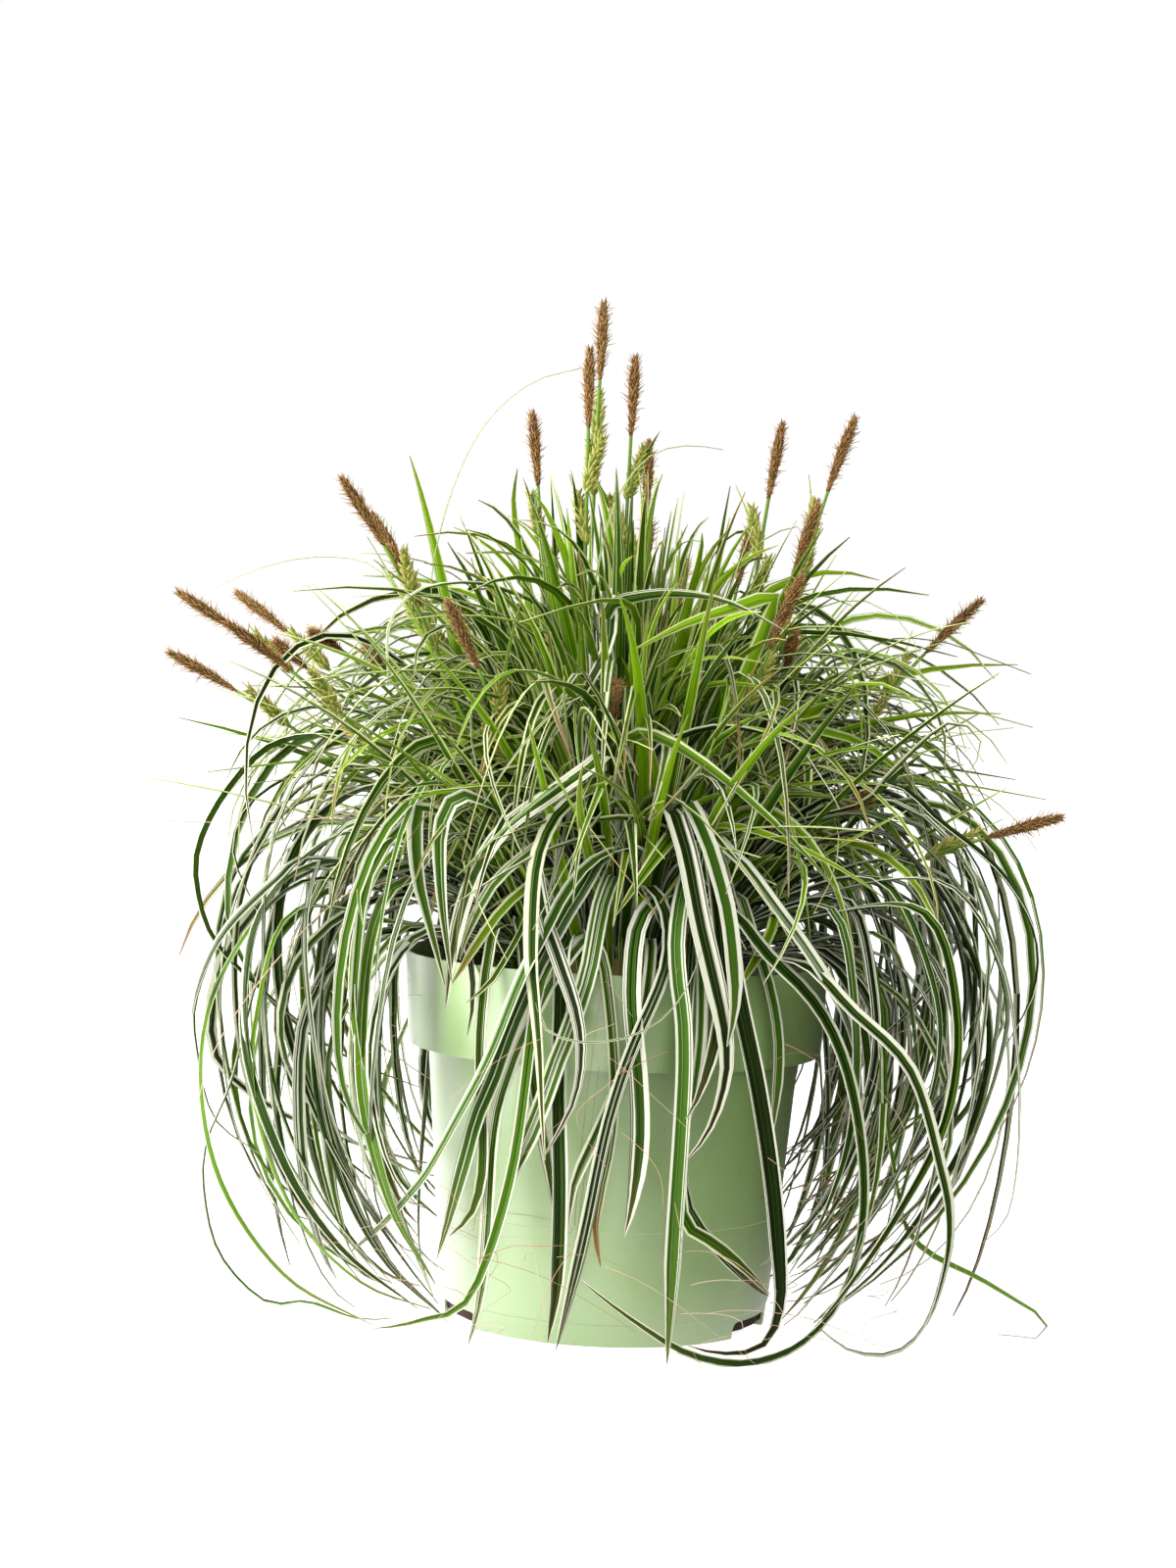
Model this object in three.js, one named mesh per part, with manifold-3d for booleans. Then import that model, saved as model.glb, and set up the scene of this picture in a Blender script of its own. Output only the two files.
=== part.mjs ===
// A variegated sedge, a low tuft-forming ornamental grass, growing in its nursery pot.
// Millimetres, +Z up. The origin is the middle of the pot's underside, on the surface it stands on.
// -Y is the front. Angles round the plant are in degrees from +X, so the front is at -90.
import * as THREE from 'three';
import { mergeVertices } from 'three/addons/utils/BufferGeometryUtils.js';
import Module from 'manifold-3d';

const wasm = await Module();
wasm.setup();

// ---------------------------------------------------------------- driving dimensions
const CLEARANCE = 0.3; // between any two pieces that touch
const FRONT = -90;

// The pot: a thin moulded body with a deep collar round its mouth and a low foot ring.
const POT = {
  height: 162,
  rimRadius: 95,
  collarFoot: 121, // height of the collar's lower edge
  collarFootRadius: 92.3,
  bodyTopRadius: 83.3,
  baseRadius: 73,
  footHeight: 10,
  footInset: 0.6,
  wall: 1.6,
  floor: 2.2,
  lip: 1.2, // rounding of the rim, the collar's edge and the base
  sides: 32,
};
const DRAIN = { angles: [-154, -26, 26, 154], spread: 27, height: 7, innerRadius: 62 };

// The soil, and how deep the tufts and stems stand in it.
const SOIL = { height: 150, edgeHeight: 146, tuftHoleFloor: 134, stemHoleFloor: 138 };
const CLEAR_OF_SOIL = 20; // how far the tools that cut the holes reach past the soil's top

// The crown: tufts side by side round the pot's axis, and one in the middle.
const TUFTS = 14;
const TUFT_ANGLE = 360 / TUFTS;
const CROWN_HEIGHT = 151; // where the blades leave the soil
const SHEATH = { reach: 36, halfDepth: 12, halfWidth: 6, height: 166, middleRadius: 13 };

// The blades. Each tuft has the same slots, side by side, given in degrees from its middle:
// old blades that hang, younger ones that arch, and fresh ones that stand.
const KEEL_DEPTH = 1.3;
const FINE_STEPS = 24; // how closely a blade is tested against the stems
const CLEAR_OF_STEMS = 0.8; // how far its edge keeps from one
const TIP_SHARE = 0.35; // the last share of a blade, which narrows to its point
const BASE_WIDTH = 0.25; // width at the root, as a share of the full width
const GATHERED = 0.15; // the share of its length over which a blade leaves its tuft's middle
const ROOT_OFFSET = 0.75; // how far it stands from there at its root, as a share of its offset
const SWELLING = 0.25; // and over which it reaches its full width
const STEPS = { hanging: 7, arching: 5, fresh: 4 };
const SLOTS = [
  { habit: 'hanging', offset: -8.5, rootReach: 42 },
  { habit: 'hanging', offset: -3, rootReach: 38 },
  { habit: 'hanging', offset: 3, rootReach: 42 },
  { habit: 'hanging', offset: 8.5, rootReach: 38 },
  { habit: 'arching', offset: -6, rootReach: 34 },
  { habit: 'arching', offset: 0, rootReach: 36 },
  { habit: 'arching', offset: 6, rootReach: 34 },
  { habit: 'fresh', offset: -7.5, rootReach: 30, lean: 0.35 },
  { habit: 'fresh', offset: -4.5, rootReach: 45, lean: 0.8 },
  { habit: 'fresh', offset: 0, rootReach: 27, lean: 0.05 },
  { habit: 'fresh', offset: 4.5, rootReach: 29, lean: 0.25 },
  { habit: 'fresh', offset: 7.5, rootReach: 45, lean: 0.65 },
];
const MIDDLE_BLADES = 12;
const CLOSEST_TO_COLLAR = 104; // how near to the pot's axis a blade may end beside the collar
const CLOSEST_TO_BODY = 92; // and below it
const SET_CURL = 0.3; // how far a blade set by hand curls in, as a share of a quarter turn
const LOWEST = 2; // a blade that reaches the floor lies this high

// The flowering stems. Each stands on the border between two tufts, with yellow-green seed
// spikelets along its top and one brown pollen spike at its tip.
const STEM = { footRadius: 1.2, topRadius: 0.8, sides: 5, steps: 4 };
const POLLEN_SPIKE = { length: 34, radius: 2.6, beak: 1.0, sides: 5, steps: 5, topHeavy: 1.5 };
const SEED_SPIKE = { length: 24, radius: 2.1, beak: 1.9, sides: 5, steps: 4, topHeavy: 1 };
const SEED_SPIKE_LEAN = 20; // degrees out from the stem
const SEED_SPIKE_DROP = 28; // from the pollen spike's foot down to the first seed spikelet's
const SEED_SPIKE_STEP = 23; // from one seed spikelet down to the next
const STEMS = [
  { border: 1, rootReach: 50, tipReach: 112, tipHeight: 331, seedSpikes: 2 },
  { border: 2, rootReach: 50, tipReach: 88, tipHeight: 365, seedSpikes: 1 },
  { border: 2, rootReach: 58, tipReach: 203, tipHeight: 235, seedSpikes: 1 },
  { border: 3, rootReach: 50, tipReach: 97, tipHeight: 406, seedSpikes: 2 },
  { border: 3, rootReach: 58, tipReach: 157, tipHeight: 327, seedSpikes: 2 },
  { border: 4, rootReach: 50, tipReach: 74, tipHeight: 405, seedSpikes: 2 },
  { border: 5, rootReach: 50, tipReach: 92, tipHeight: 363, seedSpikes: 1 },
  { border: 6, rootReach: 22, tipReach: 27, tipHeight: 394, seedSpikes: 2 },
  { border: 6, rootReach: 50, tipReach: 124, tipHeight: 345, seedSpikes: 2 },
  { border: 7, rootReach: 22, tipReach: 9, tipHeight: 430, seedSpikes: 2 },
  { border: 7, rootReach: 50, tipReach: 165, tipHeight: 318, seedSpikes: 1 },
  { border: 8, rootReach: 50, tipReach: 78, tipHeight: 408, seedSpikes: 2 },
  { border: 9, rootReach: 22, tipReach: 19, tipHeight: 454, seedSpikes: 2 },
  { border: 9, rootReach: 50, tipReach: 135, tipHeight: 358, seedSpikes: 1 },
  { border: 9, rootReach: 58, tipReach: 208, tipHeight: 320, seedSpikes: 1 },
  { border: 10, rootReach: 50, tipReach: 203, tipHeight: 317, seedSpikes: 1 },
  { border: 10, rootReach: 58, tipReach: 206, tipHeight: 290, seedSpikes: 1 },
  { border: 11, rootReach: 22, tipReach: 25, tipHeight: 431, seedSpikes: 2 },
  { border: 11, rootReach: 50, tipReach: 140, tipHeight: 367, seedSpikes: 2 },
  { border: 11, rootReach: 58, tipReach: 189, tipHeight: 303, seedSpikes: 2 },
  { border: 12, rootReach: 50, tipReach: 124, tipHeight: 315, seedSpikes: 2 },
];

// Blades set by hand where the plant shows them best. A long one arches over at its apex, is
// furthest out at its belly and hangs from there to its tip. A straight one only has a tip.
const SET_BLADES = [
  { tuft: 0, slot: 0, offset: -8, drift: 2, apex: [84, 214], belly: [112, 150], tip: [110, 60], width: 7 },
  { tuft: 0, slot: 2, offset: 4, drift: -12, apex: [78, 200], belly: [112, 120], tip: [108, 3], width: 7 },
  { tuft: 0, slot: 3, offset: 8.5, drift: 1, apex: [84, 222], belly: [110, 150], tip: [110, 2], width: 8 },
  { tuft: 1, slot: 1, offset: -3, drift: 5, apex: [88, 212], belly: [122, 110], tip: [112, 8], width: 8.5 },
  { tuft: 1, slot: 3, offset: 8, drift: -4, apex: [82, 228], belly: [118, 160], tip: [112, 92], width: 7 },
  { tuft: 2, slot: 0, offset: -8.5, drift: 3, apex: [146, 220], belly: [184, 164], tip: [112, 40], width: 7.5 },
  { tuft: 2, slot: 1, offset: -3, drift: 2, apex: [112, 205], belly: [172, 84], tip: [150, 14], width: 9 },
  { tuft: 2, slot: 2, offset: 3, drift: 2, apex: [150, 240], belly: [198, 172], tip: [178, 88], width: 7 },
  { tuft: 2, slot: 3, offset: 6, drift: -6, apex: [90, 214], belly: [140, 96], tip: [118, 12], width: 9 },
  { tuft: 3, slot: 0, offset: -8.5, drift: -3, apex: [100, 188], belly: [124, 108], tip: [190, 20], width: 6 },
  { tuft: 3, slot: 1, offset: -3, drift: -3, apex: [128, 246], belly: [192, 160], tip: [176, 96], width: 7.5 },
  { tuft: 10, slot: 10, offset: 4.5, drift: 3, tip: [72, 380], arch: 0.1, width: 5 },
  { tuft: 11, slot: 0, offset: -8.5, drift: 2, apex: [136, 250], belly: [182, 198], tip: [152, 130], width: 7 },
  { tuft: 11, slot: 1, offset: 0, drift: 5, apex: [132, 255], belly: [194, 170], tip: [160, 92], width: 7 },
  { tuft: 11, slot: 2, offset: 4, drift: 1, apex: [126, 208], belly: [193, 112], tip: [168, 60], width: 7 },
  { tuft: 11, slot: 3, offset: 8.5, drift: 2, apex: [114, 218], belly: [166, 142], tip: [108, 24], width: 6 },
  { tuft: 11, slot: 7, offset: -7, drift: 3, tip: [193, 236], arch: 0.3, width: 4.5 },
  { tuft: 12, slot: 0, offset: -8.5, drift: -2, apex: [102, 200], belly: [150, 126], tip: [112, 38], width: 8 },
  { tuft: 12, slot: 2, offset: 3, drift: -4, apex: [100, 206], belly: [152, 120], tip: [138, 34], width: 9.5 },
  { tuft: 13, slot: 1, offset: -2, drift: -6, apex: [74, 246], belly: [116, 176], tip: [116, 110], width: 7.5 },
  { tuft: 13, slot: 3, offset: 8, drift: -3, apex: [86, 222], belly: [114, 150], tip: [110, 6], width: 7.5 },
];

// ---------------------------------------------------------------- numbers and curves
const radians = THREE.MathUtils.degToRad;
const mix = THREE.MathUtils.lerp;

// A seeded draw, so that the plant grows the same way every time.
class Draw {
  constructor(seed) {
    this.modulus = 2147483647;
    this.state = (seed * 7919 + 101) % this.modulus;
    for (let warmUp = 0; warmUp < 4; warmUp++) this.next();
  }

  next() {
    this.state = (this.state * 16807) % this.modulus;
    return this.state / this.modulus;
  }

  between(low, high) {
    return low + (high - low) * this.next();
  }

  // Most often near nought, seldom near either end.
  around(spread) {
    return (this.next() + this.next() - 1) * spread;
  }
}

function cubic(a, b, c, d, t) {
  const s = 1 - t;
  return s * s * s * a + 3 * s * s * t * b + 3 * s * t * t * c + t * t * t * d;
}

function quadratic(a, b, c, t) {
  const s = 1 - t;
  return s * s * a + 2 * s * t * b + t * t * c;
}

function onPlant(reach, azimuth, height) {
  const angle = radians(azimuth);
  return new THREE.Vector3(reach * Math.cos(angle), reach * Math.sin(angle), height);
}

// ---------------------------------------------------------------- solids
function toSolid(geometry) {
  const bare = geometry.clone();
  bare.deleteAttribute('normal');
  bare.deleteAttribute('uv');
  const merged = mergeVertices(bare, 1e-4);
  const vertProperties = new Float32Array(merged.attributes.position.array);
  const triVerts = new Uint32Array(merged.index.array);
  return new wasm.Manifold(new wasm.Mesh({ numProp: 3, vertProperties, triVerts }));
}

// The outer skin of the largest body in a solid: sealed hollows are filled, scraps are dropped.
function outerSkin(positions, triangles) {
  const parent = Array.from({ length: positions.length / 3 }, (_, index) => index);
  const rootOf = (index) => {
    while (parent[index] !== index) {
      parent[index] = parent[parent[index]];
      index = parent[index];
    }
    return index;
  };
  for (let corner = 0; corner < triangles.length; corner += 3) {
    parent[rootOf(triangles[corner])] = rootOf(triangles[corner + 1]);
    parent[rootOf(triangles[corner + 1])] = rootOf(triangles[corner + 2]);
  }
  const volumes = new Map();
  const [a, b, c] = [new THREE.Vector3(), new THREE.Vector3(), new THREE.Vector3()];
  for (let corner = 0; corner < triangles.length; corner += 3) {
    a.fromArray(positions, 3 * triangles[corner]);
    b.fromArray(positions, 3 * triangles[corner + 1]);
    c.fromArray(positions, 3 * triangles[corner + 2]);
    const body = rootOf(triangles[corner]);
    volumes.set(body, (volumes.get(body) ?? 0) + a.dot(b.cross(c)));
  }
  const largest = [...volumes].sort((one, other) => other[1] - one[1])[0][0];
  return Array.from(triangles).filter((_, corner) => rootOf(triangles[corner - (corner % 3)]) === largest);
}

function toGeometry(solid, detail = 0.08) {
  const mesh = solid.simplify(detail).getMesh();
  const geometry = new THREE.BufferGeometry();
  geometry.setAttribute('position', new THREE.BufferAttribute(mesh.vertProperties, 3));
  geometry.setIndex(outerSkin(mesh.vertProperties, mesh.triVerts));
  geometry.computeVertexNormals();
  return geometry;
}

// A closed skin over rings of points, each ring going anticlockwise seen from the tip.
function loft(rings, tip) {
  const around = rings[0].length;
  const points = [...rings.flat(), tip];
  const faces = [];
  for (let side = 1; side < around - 1; side++) faces.push(0, side + 1, side);
  for (let ring = 0; ring < rings.length; ring++) {
    for (let side = 0; side < around; side++) {
      const near = ring * around + side;
      const next = ring * around + ((side + 1) % around);
      if (ring === rings.length - 1) faces.push(near, next, points.length - 1);
      else faces.push(near, next, next + around, near, next + around, near + around);
    }
  }
  const geometry = new THREE.BufferGeometry().setFromPoints(points);
  geometry.setIndex(faces);
  return geometry;
}

// A round body along a line of points, with a radius at each and a point at its end. Beaks says
// how far a point of it is drawn outwards and on towards the tip.
function spindle(line, radii, sides, beaks = () => 0) {
  const rings = [];
  for (let step = 0; step < line.length - 1; step++) {
    const along = line[step + 1].clone().sub(line[Math.max(0, step - 1)]).normalize();
    const across = new THREE.Vector3(0, 1, 0).cross(along).normalize();
    const third = along.clone().cross(across);
    const ring = [];
    for (let side = 0; side < sides; side++) {
      const angle = (2 * Math.PI * side) / sides;
      const out = across.clone().multiplyScalar(Math.cos(angle)).addScaledVector(third, Math.sin(angle));
      const beak = beaks(step, side);
      ring.push(line[step].clone().addScaledVector(out, radii[step] + beak).addScaledVector(along, beak));
    }
    rings.push(ring);
  }
  return loft(rings, line[line.length - 1]);
}

// ---------------------------------------------------------------- the pot and its soil
function makePot() {
  const { baseRadius, bodyTopRadius, collarFoot, collarFootRadius, rimRadius, wall, lip } = POT;
  const bodySlope = (bodyTopRadius - baseRadius) / collarFoot;
  const footTopRadius = baseRadius + bodySlope * POT.footHeight;
  const ledge = collarFoot + wall;
  const profile = [
    [0, 0],
    [baseRadius - lip - POT.footInset, 0],
    [baseRadius - POT.footInset, lip],
    [footTopRadius - POT.footInset, POT.footHeight - POT.footInset],
    [footTopRadius, POT.footHeight],
    [bodyTopRadius, collarFoot],
    [collarFootRadius - lip, collarFoot],
    [collarFootRadius, collarFoot + lip],
    [rimRadius, POT.height - lip],
    [rimRadius - lip / 3, POT.height],
    [rimRadius - wall, POT.height],
    [collarFootRadius - wall, ledge],
    [bodyTopRadius - wall, ledge],
    [baseRadius - wall, POT.floor],
    [0, POT.floor],
  ].map(([radius, height]) => new THREE.Vector2(radius, height));
  const body = new THREE.LatheGeometry(profile, POT.sides).rotateX(Math.PI / 2);
  const slots = DRAIN.angles.map((angle) => {
    const sector = new THREE.Shape();
    const half = radians(DRAIN.spread / 2);
    sector.absarc(0, 0, baseRadius + 10, -half, half, false);
    sector.absarc(0, 0, DRAIN.innerRadius, half, -half, true);
    const options = { depth: DRAIN.height + 1, bevelEnabled: false, curveSegments: 5 };
    const slot = new THREE.ExtrudeGeometry(sector, options).translate(0, 0, -1);
    return toSolid(slot.rotateZ(radians(angle)));
  });
  return toGeometry(toSolid(body).subtract(wasm.Manifold.union(slots)));
}

function makeSoil() {
  const gap = POT.wall + CLEARANCE;
  const ledge = POT.collarFoot + gap;
  const profile = [
    [0, POT.floor + CLEARANCE],
    [POT.baseRadius - gap, POT.floor + CLEARANCE],
    [POT.bodyTopRadius - gap, ledge],
    [POT.collarFootRadius - gap, ledge],
    [POT.collarFootRadius + 1 - gap, SOIL.edgeHeight],
    [SHEATH.reach + 2 * SHEATH.halfDepth, SOIL.height],
    [0, SOIL.height],
  ].map(([radius, height]) => new THREE.Vector2(radius, height));
  const bed = toSolid(new THREE.LatheGeometry(profile, POT.sides).rotateX(Math.PI / 2));
  const top = SOIL.height + CLEAR_OF_SOIL;
  const holes = [toSolid(roundPlug(SHEATH.middleRadius + CLEARANCE, SOIL.tuftHoleFloor, top))];
  for (let tuft = 0; tuft < TUFTS; tuft++) {
    holes.push(toSolid(ovalPlug(tuft, CLEARANCE, SOIL.tuftHoleFloor, top)));
  }
  for (const stem of STEMS) {
    const depth = top - SOIL.stemHoleFloor;
    const radius = STEM.footRadius + 2 * CLEARANCE;
    const hole = new THREE.CylinderGeometry(radius, radius, depth, 6).rotateX(Math.PI / 2);
    const middle = stemFoot(stem, SOIL.stemHoleFloor + depth / 2);
    holes.push(toSolid(hole.translate(middle.x, middle.y, middle.z)));
  }
  return toGeometry(bed.subtract(wasm.Manifold.union(holes)));
}

// The packed leaf bases of one tuft: an oval plug that stands in the soil, long way outwards.
function ovalPlug(tuft, margin, foot, top) {
  const oval = new THREE.Shape();
  oval.absellipse(0, 0, SHEATH.halfDepth + margin, SHEATH.halfWidth + margin, 0, 2 * Math.PI);
  const options = { depth: top - foot, bevelEnabled: false, curveSegments: 5 };
  const plug = new THREE.ExtrudeGeometry(oval, options).translate(SHEATH.reach, 0, foot);
  return plug.rotateZ(radians(FRONT + tuft * TUFT_ANGLE));
}

// The same in the middle of the plant, where it is round.
function roundPlug(radius, foot, top) {
  const plug = new THREE.CylinderGeometry(radius, radius, top - foot, 12).rotateX(Math.PI / 2);
  return plug.translate(0, 0, (top + foot) / 2);
}

// ---------------------------------------------------------------- the blades
// One blade's own measures, drawn by its tuft and its slot. The front tufts hang less far out.
function drawBlade(tuft, slot) {
  const draw = new Draw(100 * tuft + slot);
  const blade = { ...SLOTS[slot], bisector: FRONT + tuft * TUFT_ANGLE, twist: draw.around(40) };
  const front = Math.max(0, Math.cos(radians(tuft * TUFT_ANGLE))) ** 2;
  blade.drift = draw.around(2.5);
  if (blade.habit === 'hanging') {
    const belly = draw.between(116, mix(190, 134, front));
    const bellyHeight = draw.between(80, 165);
    blade.apex = [mix(45, belly, draw.between(0.42, 0.6)), draw.between(205, 262)];
    blade.belly = [belly, bellyHeight];
    const tipHeight = Math.max(LOWEST, bellyHeight - draw.between(70, 160));
    const closest = tipHeight < POT.collarFoot - POT.lip ? CLOSEST_TO_BODY : CLOSEST_TO_COLLAR;
    blade.tip = [Math.max(closest, belly - draw.between(15, 90)), tipHeight];
    blade.curl = draw.between(0.45, 0.95);
    blade.width = draw.between(6, 9.5);
  } else if (blade.habit === 'arching') {
    const belly = draw.between(110, mix(185, 145, front));
    const apexHeight = draw.between(250, 312) - 0.12 * (belly - 100);
    blade.apex = [mix(35, belly, draw.between(0.42, 0.62)), apexHeight];
    blade.belly = [belly, apexHeight - draw.between(45, 110)];
    blade.share = draw.between(0.6, 1);
    blade.width = draw.between(4.5, 7);
  } else {
    const lean = radians(mix(4, 60, blade.lean + draw.around(0.1)));
    const length = draw.between(160, 232) - 24 * Math.sin(lean);
    blade.tip = [length * Math.sin(lean), CROWN_HEIGHT + length * Math.cos(lean)];
    blade.arch = draw.between(0.04, mix(0.15, 0.55, blade.lean));
    blade.width = draw.between(4, 6);
  }
  return blade;
}

// A blade set by hand takes the place of the one in its slot.
function setBlade(row) {
  const bisector = FRONT + row.tuft * TUFT_ANGLE;
  return { ...SLOTS[row.slot], curl: SET_CURL, ...row, bisector, twist: 0 };
}

// Reach and height at a share t of a blade's length.
function bladeProfile(blade, t) {
  const root = blade.rootReach;
  if (blade.habit === 'fresh') {
    const tip = root + blade.tip[0];
    const reach = quadratic(root, root + (0.5 - blade.arch) * (tip - root), tip, t);
    const rise = blade.tip[1] - CROWN_HEIGHT;
    return [reach, CROWN_HEIGHT + quadratic(0, (0.5 + blade.arch) * rise, rise, t)];
  }
  const [apexReach, apexHeight] = blade.apex;
  const [bellyReach, bellyHeight] = blade.belly;
  const hangs = blade.habit === 'hanging';
  const share = hangs ? 1 : blade.share;
  const rise = 1.05 * Math.hypot(apexReach - root, apexHeight - CROWN_HEIGHT);
  const fall = 1.1 * Math.hypot(bellyReach - apexReach, apexHeight - bellyHeight) * share;
  const hang = hangs ? 1.03 * Math.hypot(bellyReach - blade.tip[0], bellyHeight - blade.tip[1]) : 0;
  const run = t * (rise + fall + hang);
  if (run <= rise) {
    const q = run / rise;
    const reach = cubic(root, mix(root, apexReach, 0.22), mix(root, apexReach, 0.55), apexReach, q);
    return [reach, cubic(CROWN_HEIGHT, mix(CROWN_HEIGHT, apexHeight, 0.5), apexHeight, apexHeight, q)];
  }
  if (run <= rise + fall || !hangs) {
    const q = (Math.min(1, (run - rise) / fall) * share * Math.PI) / 2;
    return [mix(apexReach, bellyReach, Math.sin(q)), mix(bellyHeight, apexHeight, Math.cos(q))];
  }
  const curl = (blade.curl * Math.PI) / 2;
  const q = (curl * (run - rise - fall)) / hang;
  const inwards = (1 - Math.cos(q)) / (1 - Math.cos(curl));
  const downwards = Math.sin(q) / Math.sin(curl);
  return [mix(bellyReach, blade.tip[0], inwards), mix(bellyHeight, blade.tip[1], downwards)];
}

// The middle line of a blade. Near the root it is drawn in towards its tuft's bisector.
function bladeLine(blade, steps) {
  const line = [];
  for (let step = 0; step <= steps; step++) {
    const t = step / steps;
    const [reach, height] = bladeProfile(blade, t);
    const gather = mix(ROOT_OFFSET, 1, Math.min(1, t / GATHERED));
    const azimuth = blade.bisector + blade.offset * gather + blade.drift * t * t;
    line.push(onPlant(reach, azimuth, Math.max(height, LOWEST)));
  }
  return line;
}

function bladeWidth(blade, t) {
  const swelling = mix(BASE_WIDTH, 1, Math.min(1, t / SWELLING));
  const point = t > 1 - TIP_SHARE ? (1 - t) / TIP_SHARE : 1;
  return blade.width * swelling * mix(0.14, 1, point);
}

// A blade is a three-sided strip: two edges and a keel on its under side.
function makeBlade(blade) {
  const steps = STEPS[blade.habit];
  const line = bladeLine(blade, steps);
  const rings = [];
  for (let step = 0; step < steps; step++) {
    const t = step / steps;
    const along = line[step + 1].clone().sub(line[Math.max(0, step - 1)]).normalize();
    const sideways = new THREE.Vector3(-line[step].y, line[step].x, 0).normalize();
    const across = sideways.addScaledVector(along, -sideways.dot(along)).normalize();
    across.applyAxisAngle(along, radians(blade.twist * t));
    const up = along.clone().cross(across);
    const half = bladeWidth(blade, t) / 2;
    const keel = mix(1, 0.5, t) * KEEL_DEPTH;
    rings.push([
      line[step].clone().addScaledVector(across, half),
      line[step].clone().addScaledVector(across, -half),
      line[step].clone().addScaledVector(up, -keel),
    ]);
  }
  return loft(rings, line[steps]);
}

// A blade that would pass through a stem or its spikes is left out.
function clearOfStems(blade) {
  const closest = new THREE.Vector3();
  return bladeLine(blade, FINE_STEPS).every((point, step) => {
    const room = bladeWidth(blade, step / FINE_STEPS) / 2 + CLEAR_OF_STEMS;
    return STEM_SEGMENTS.every(({ segment, radius }) => {
      return segment.closestPointToPoint(point, true, closest).distanceTo(point) > radius + room;
    });
  });
}

// ---------------------------------------------------------------- the flowering stems
function stemAzimuth(stem) {
  return FRONT + (stem.border + 0.5) * TUFT_ANGLE;
}

function stemFoot(stem, height) {
  return onPlant(stem.rootReach, stemAzimuth(stem), height);
}

// A stem's middle line above the soil. Below it, the stem stands upright in its hole.
function stemLine(stem, steps) {
  const { rootReach, tipReach, tipHeight } = stem;
  const line = [];
  for (let step = 0; step <= steps; step++) {
    const t = step / steps;
    const reach = quadratic(rootReach, mix(rootReach, tipReach, 0.14), tipReach, t);
    const height = quadratic(CROWN_HEIGHT, mix(CROWN_HEIGHT, tipHeight, 0.55), tipHeight, t);
    line.push(onPlant(reach, stemAzimuth(stem), height));
  }
  return line;
}

function stemCurve(stem) {
  return new THREE.CatmullRomCurve3(stemLine(stem, 12));
}

// Points on the stem between two distances from its tip.
function stretch(curve, from, to, steps) {
  const length = curve.getLength();
  const points = [];
  for (let step = 0; step <= steps; step++) {
    points.push(curve.getPointAt(1 - mix(from, to, step / steps) / length));
  }
  return points;
}

// A pointed head of scales: a spindle on which every other point is drawn out into a beak.
function makeSpike(line, shape) {
  const steps = line.length - 1;
  const radii = line.map((_, step) => {
    const share = Math.min(1, (step + 0.6) / steps) ** shape.topHeavy;
    return shape.radius * (0.4 + 0.6 * Math.sin(Math.PI * share));
  });
  const beaks = (step, side) => ((step + side) % 2 ? shape.beak : 0);
  return spindle(line, radii, shape.sides, beaks);
}

function makeStem(stem) {
  const curve = stemCurve(stem);
  const foot = stemFoot(stem, SOIL.stemHoleFloor + CLEARANCE);
  const tube = [foot, ...stretch(curve, curve.getLength(), POLLEN_SPIKE.length + CLEARANCE, STEM.steps)];
  const radii = tube.map((_, step) => mix(STEM.footRadius, STEM.topRadius, step / STEM.steps));
  const parts = [toSolid(blunt(tube, radii))];
  for (let spike = 0; spike < stem.seedSpikes; spike++) {
    const down = POLLEN_SPIKE.length + SEED_SPIKE_DROP + spike * SEED_SPIKE_STEP;
    const [root, ahead] = stretch(curve, down, down - 2, 1);
    const along = ahead.sub(root).normalize();
    const side = new THREE.Vector3(0, 0, 1).cross(along).normalize();
    side.applyAxisAngle(along, radians(25 + 160 * spike));
    const lean = radians(SEED_SPIKE_LEAN);
    const heading = along.multiplyScalar(Math.cos(lean)).addScaledVector(side, Math.sin(lean));
    const line = [];
    for (let step = 0; step <= SEED_SPIKE.steps; step++) {
      line.push(root.clone().addScaledVector(heading, (step / SEED_SPIKE.steps) * SEED_SPIKE.length));
    }
    parts.push(toSolid(makeSpike(line, SEED_SPIKE)));
  }
  return toGeometry(wasm.Manifold.union(parts));
}

// A tube that ends almost flat: its last ring is closed by a very low point.
function blunt(line, radii) {
  const end = line[line.length - 1];
  const lastRing = end.clone().lerp(line[line.length - 2], 0.002);
  return spindle([...line.slice(0, -1), lastRing, end], radii, STEM.sides);
}

function makePollenSpike(stem) {
  const line = stretch(stemCurve(stem), POLLEN_SPIKE.length, 0, POLLEN_SPIKE.steps);
  return toGeometry(toSolid(makeSpike(line, POLLEN_SPIKE)));
}

// The stems as straight pieces with a radius, for the blades to keep clear of.
const STEM_SEGMENTS = STEMS.flatMap((stem) => {
  const line = stemLine(stem, 16);
  const spiked = POLLEN_SPIKE.length + SEED_SPIKE_DROP + SEED_SPIKE_STEP * (stem.seedSpikes - 1) + 5;
  return line.slice(1).map((point, step) => {
    const toTip = line[line.length - 1].distanceTo(line[step]);
    const radius = toTip < spiked ? POLLEN_SPIKE.radius + 4 : STEM.footRadius;
    return { segment: new THREE.Line3(line[step], point), radius };
  });
});

// ---------------------------------------------------------------- the tufts
function makeTuft(tuft) {
  const blades = SLOTS.map((_, slot) => {
    const row = SET_BLADES.find((set) => set.tuft === tuft && set.slot === slot);
    return row ? setBlade(row) : drawBlade(tuft, slot);
  });
  const parts = blades.filter(clearOfStems).map((blade) => toSolid(makeBlade(blade)));
  parts.push(toSolid(ovalPlug(tuft, 0, SOIL.tuftHoleFloor + CLEARANCE, SHEATH.height)));
  return toGeometry(wasm.Manifold.union(parts));
}

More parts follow.
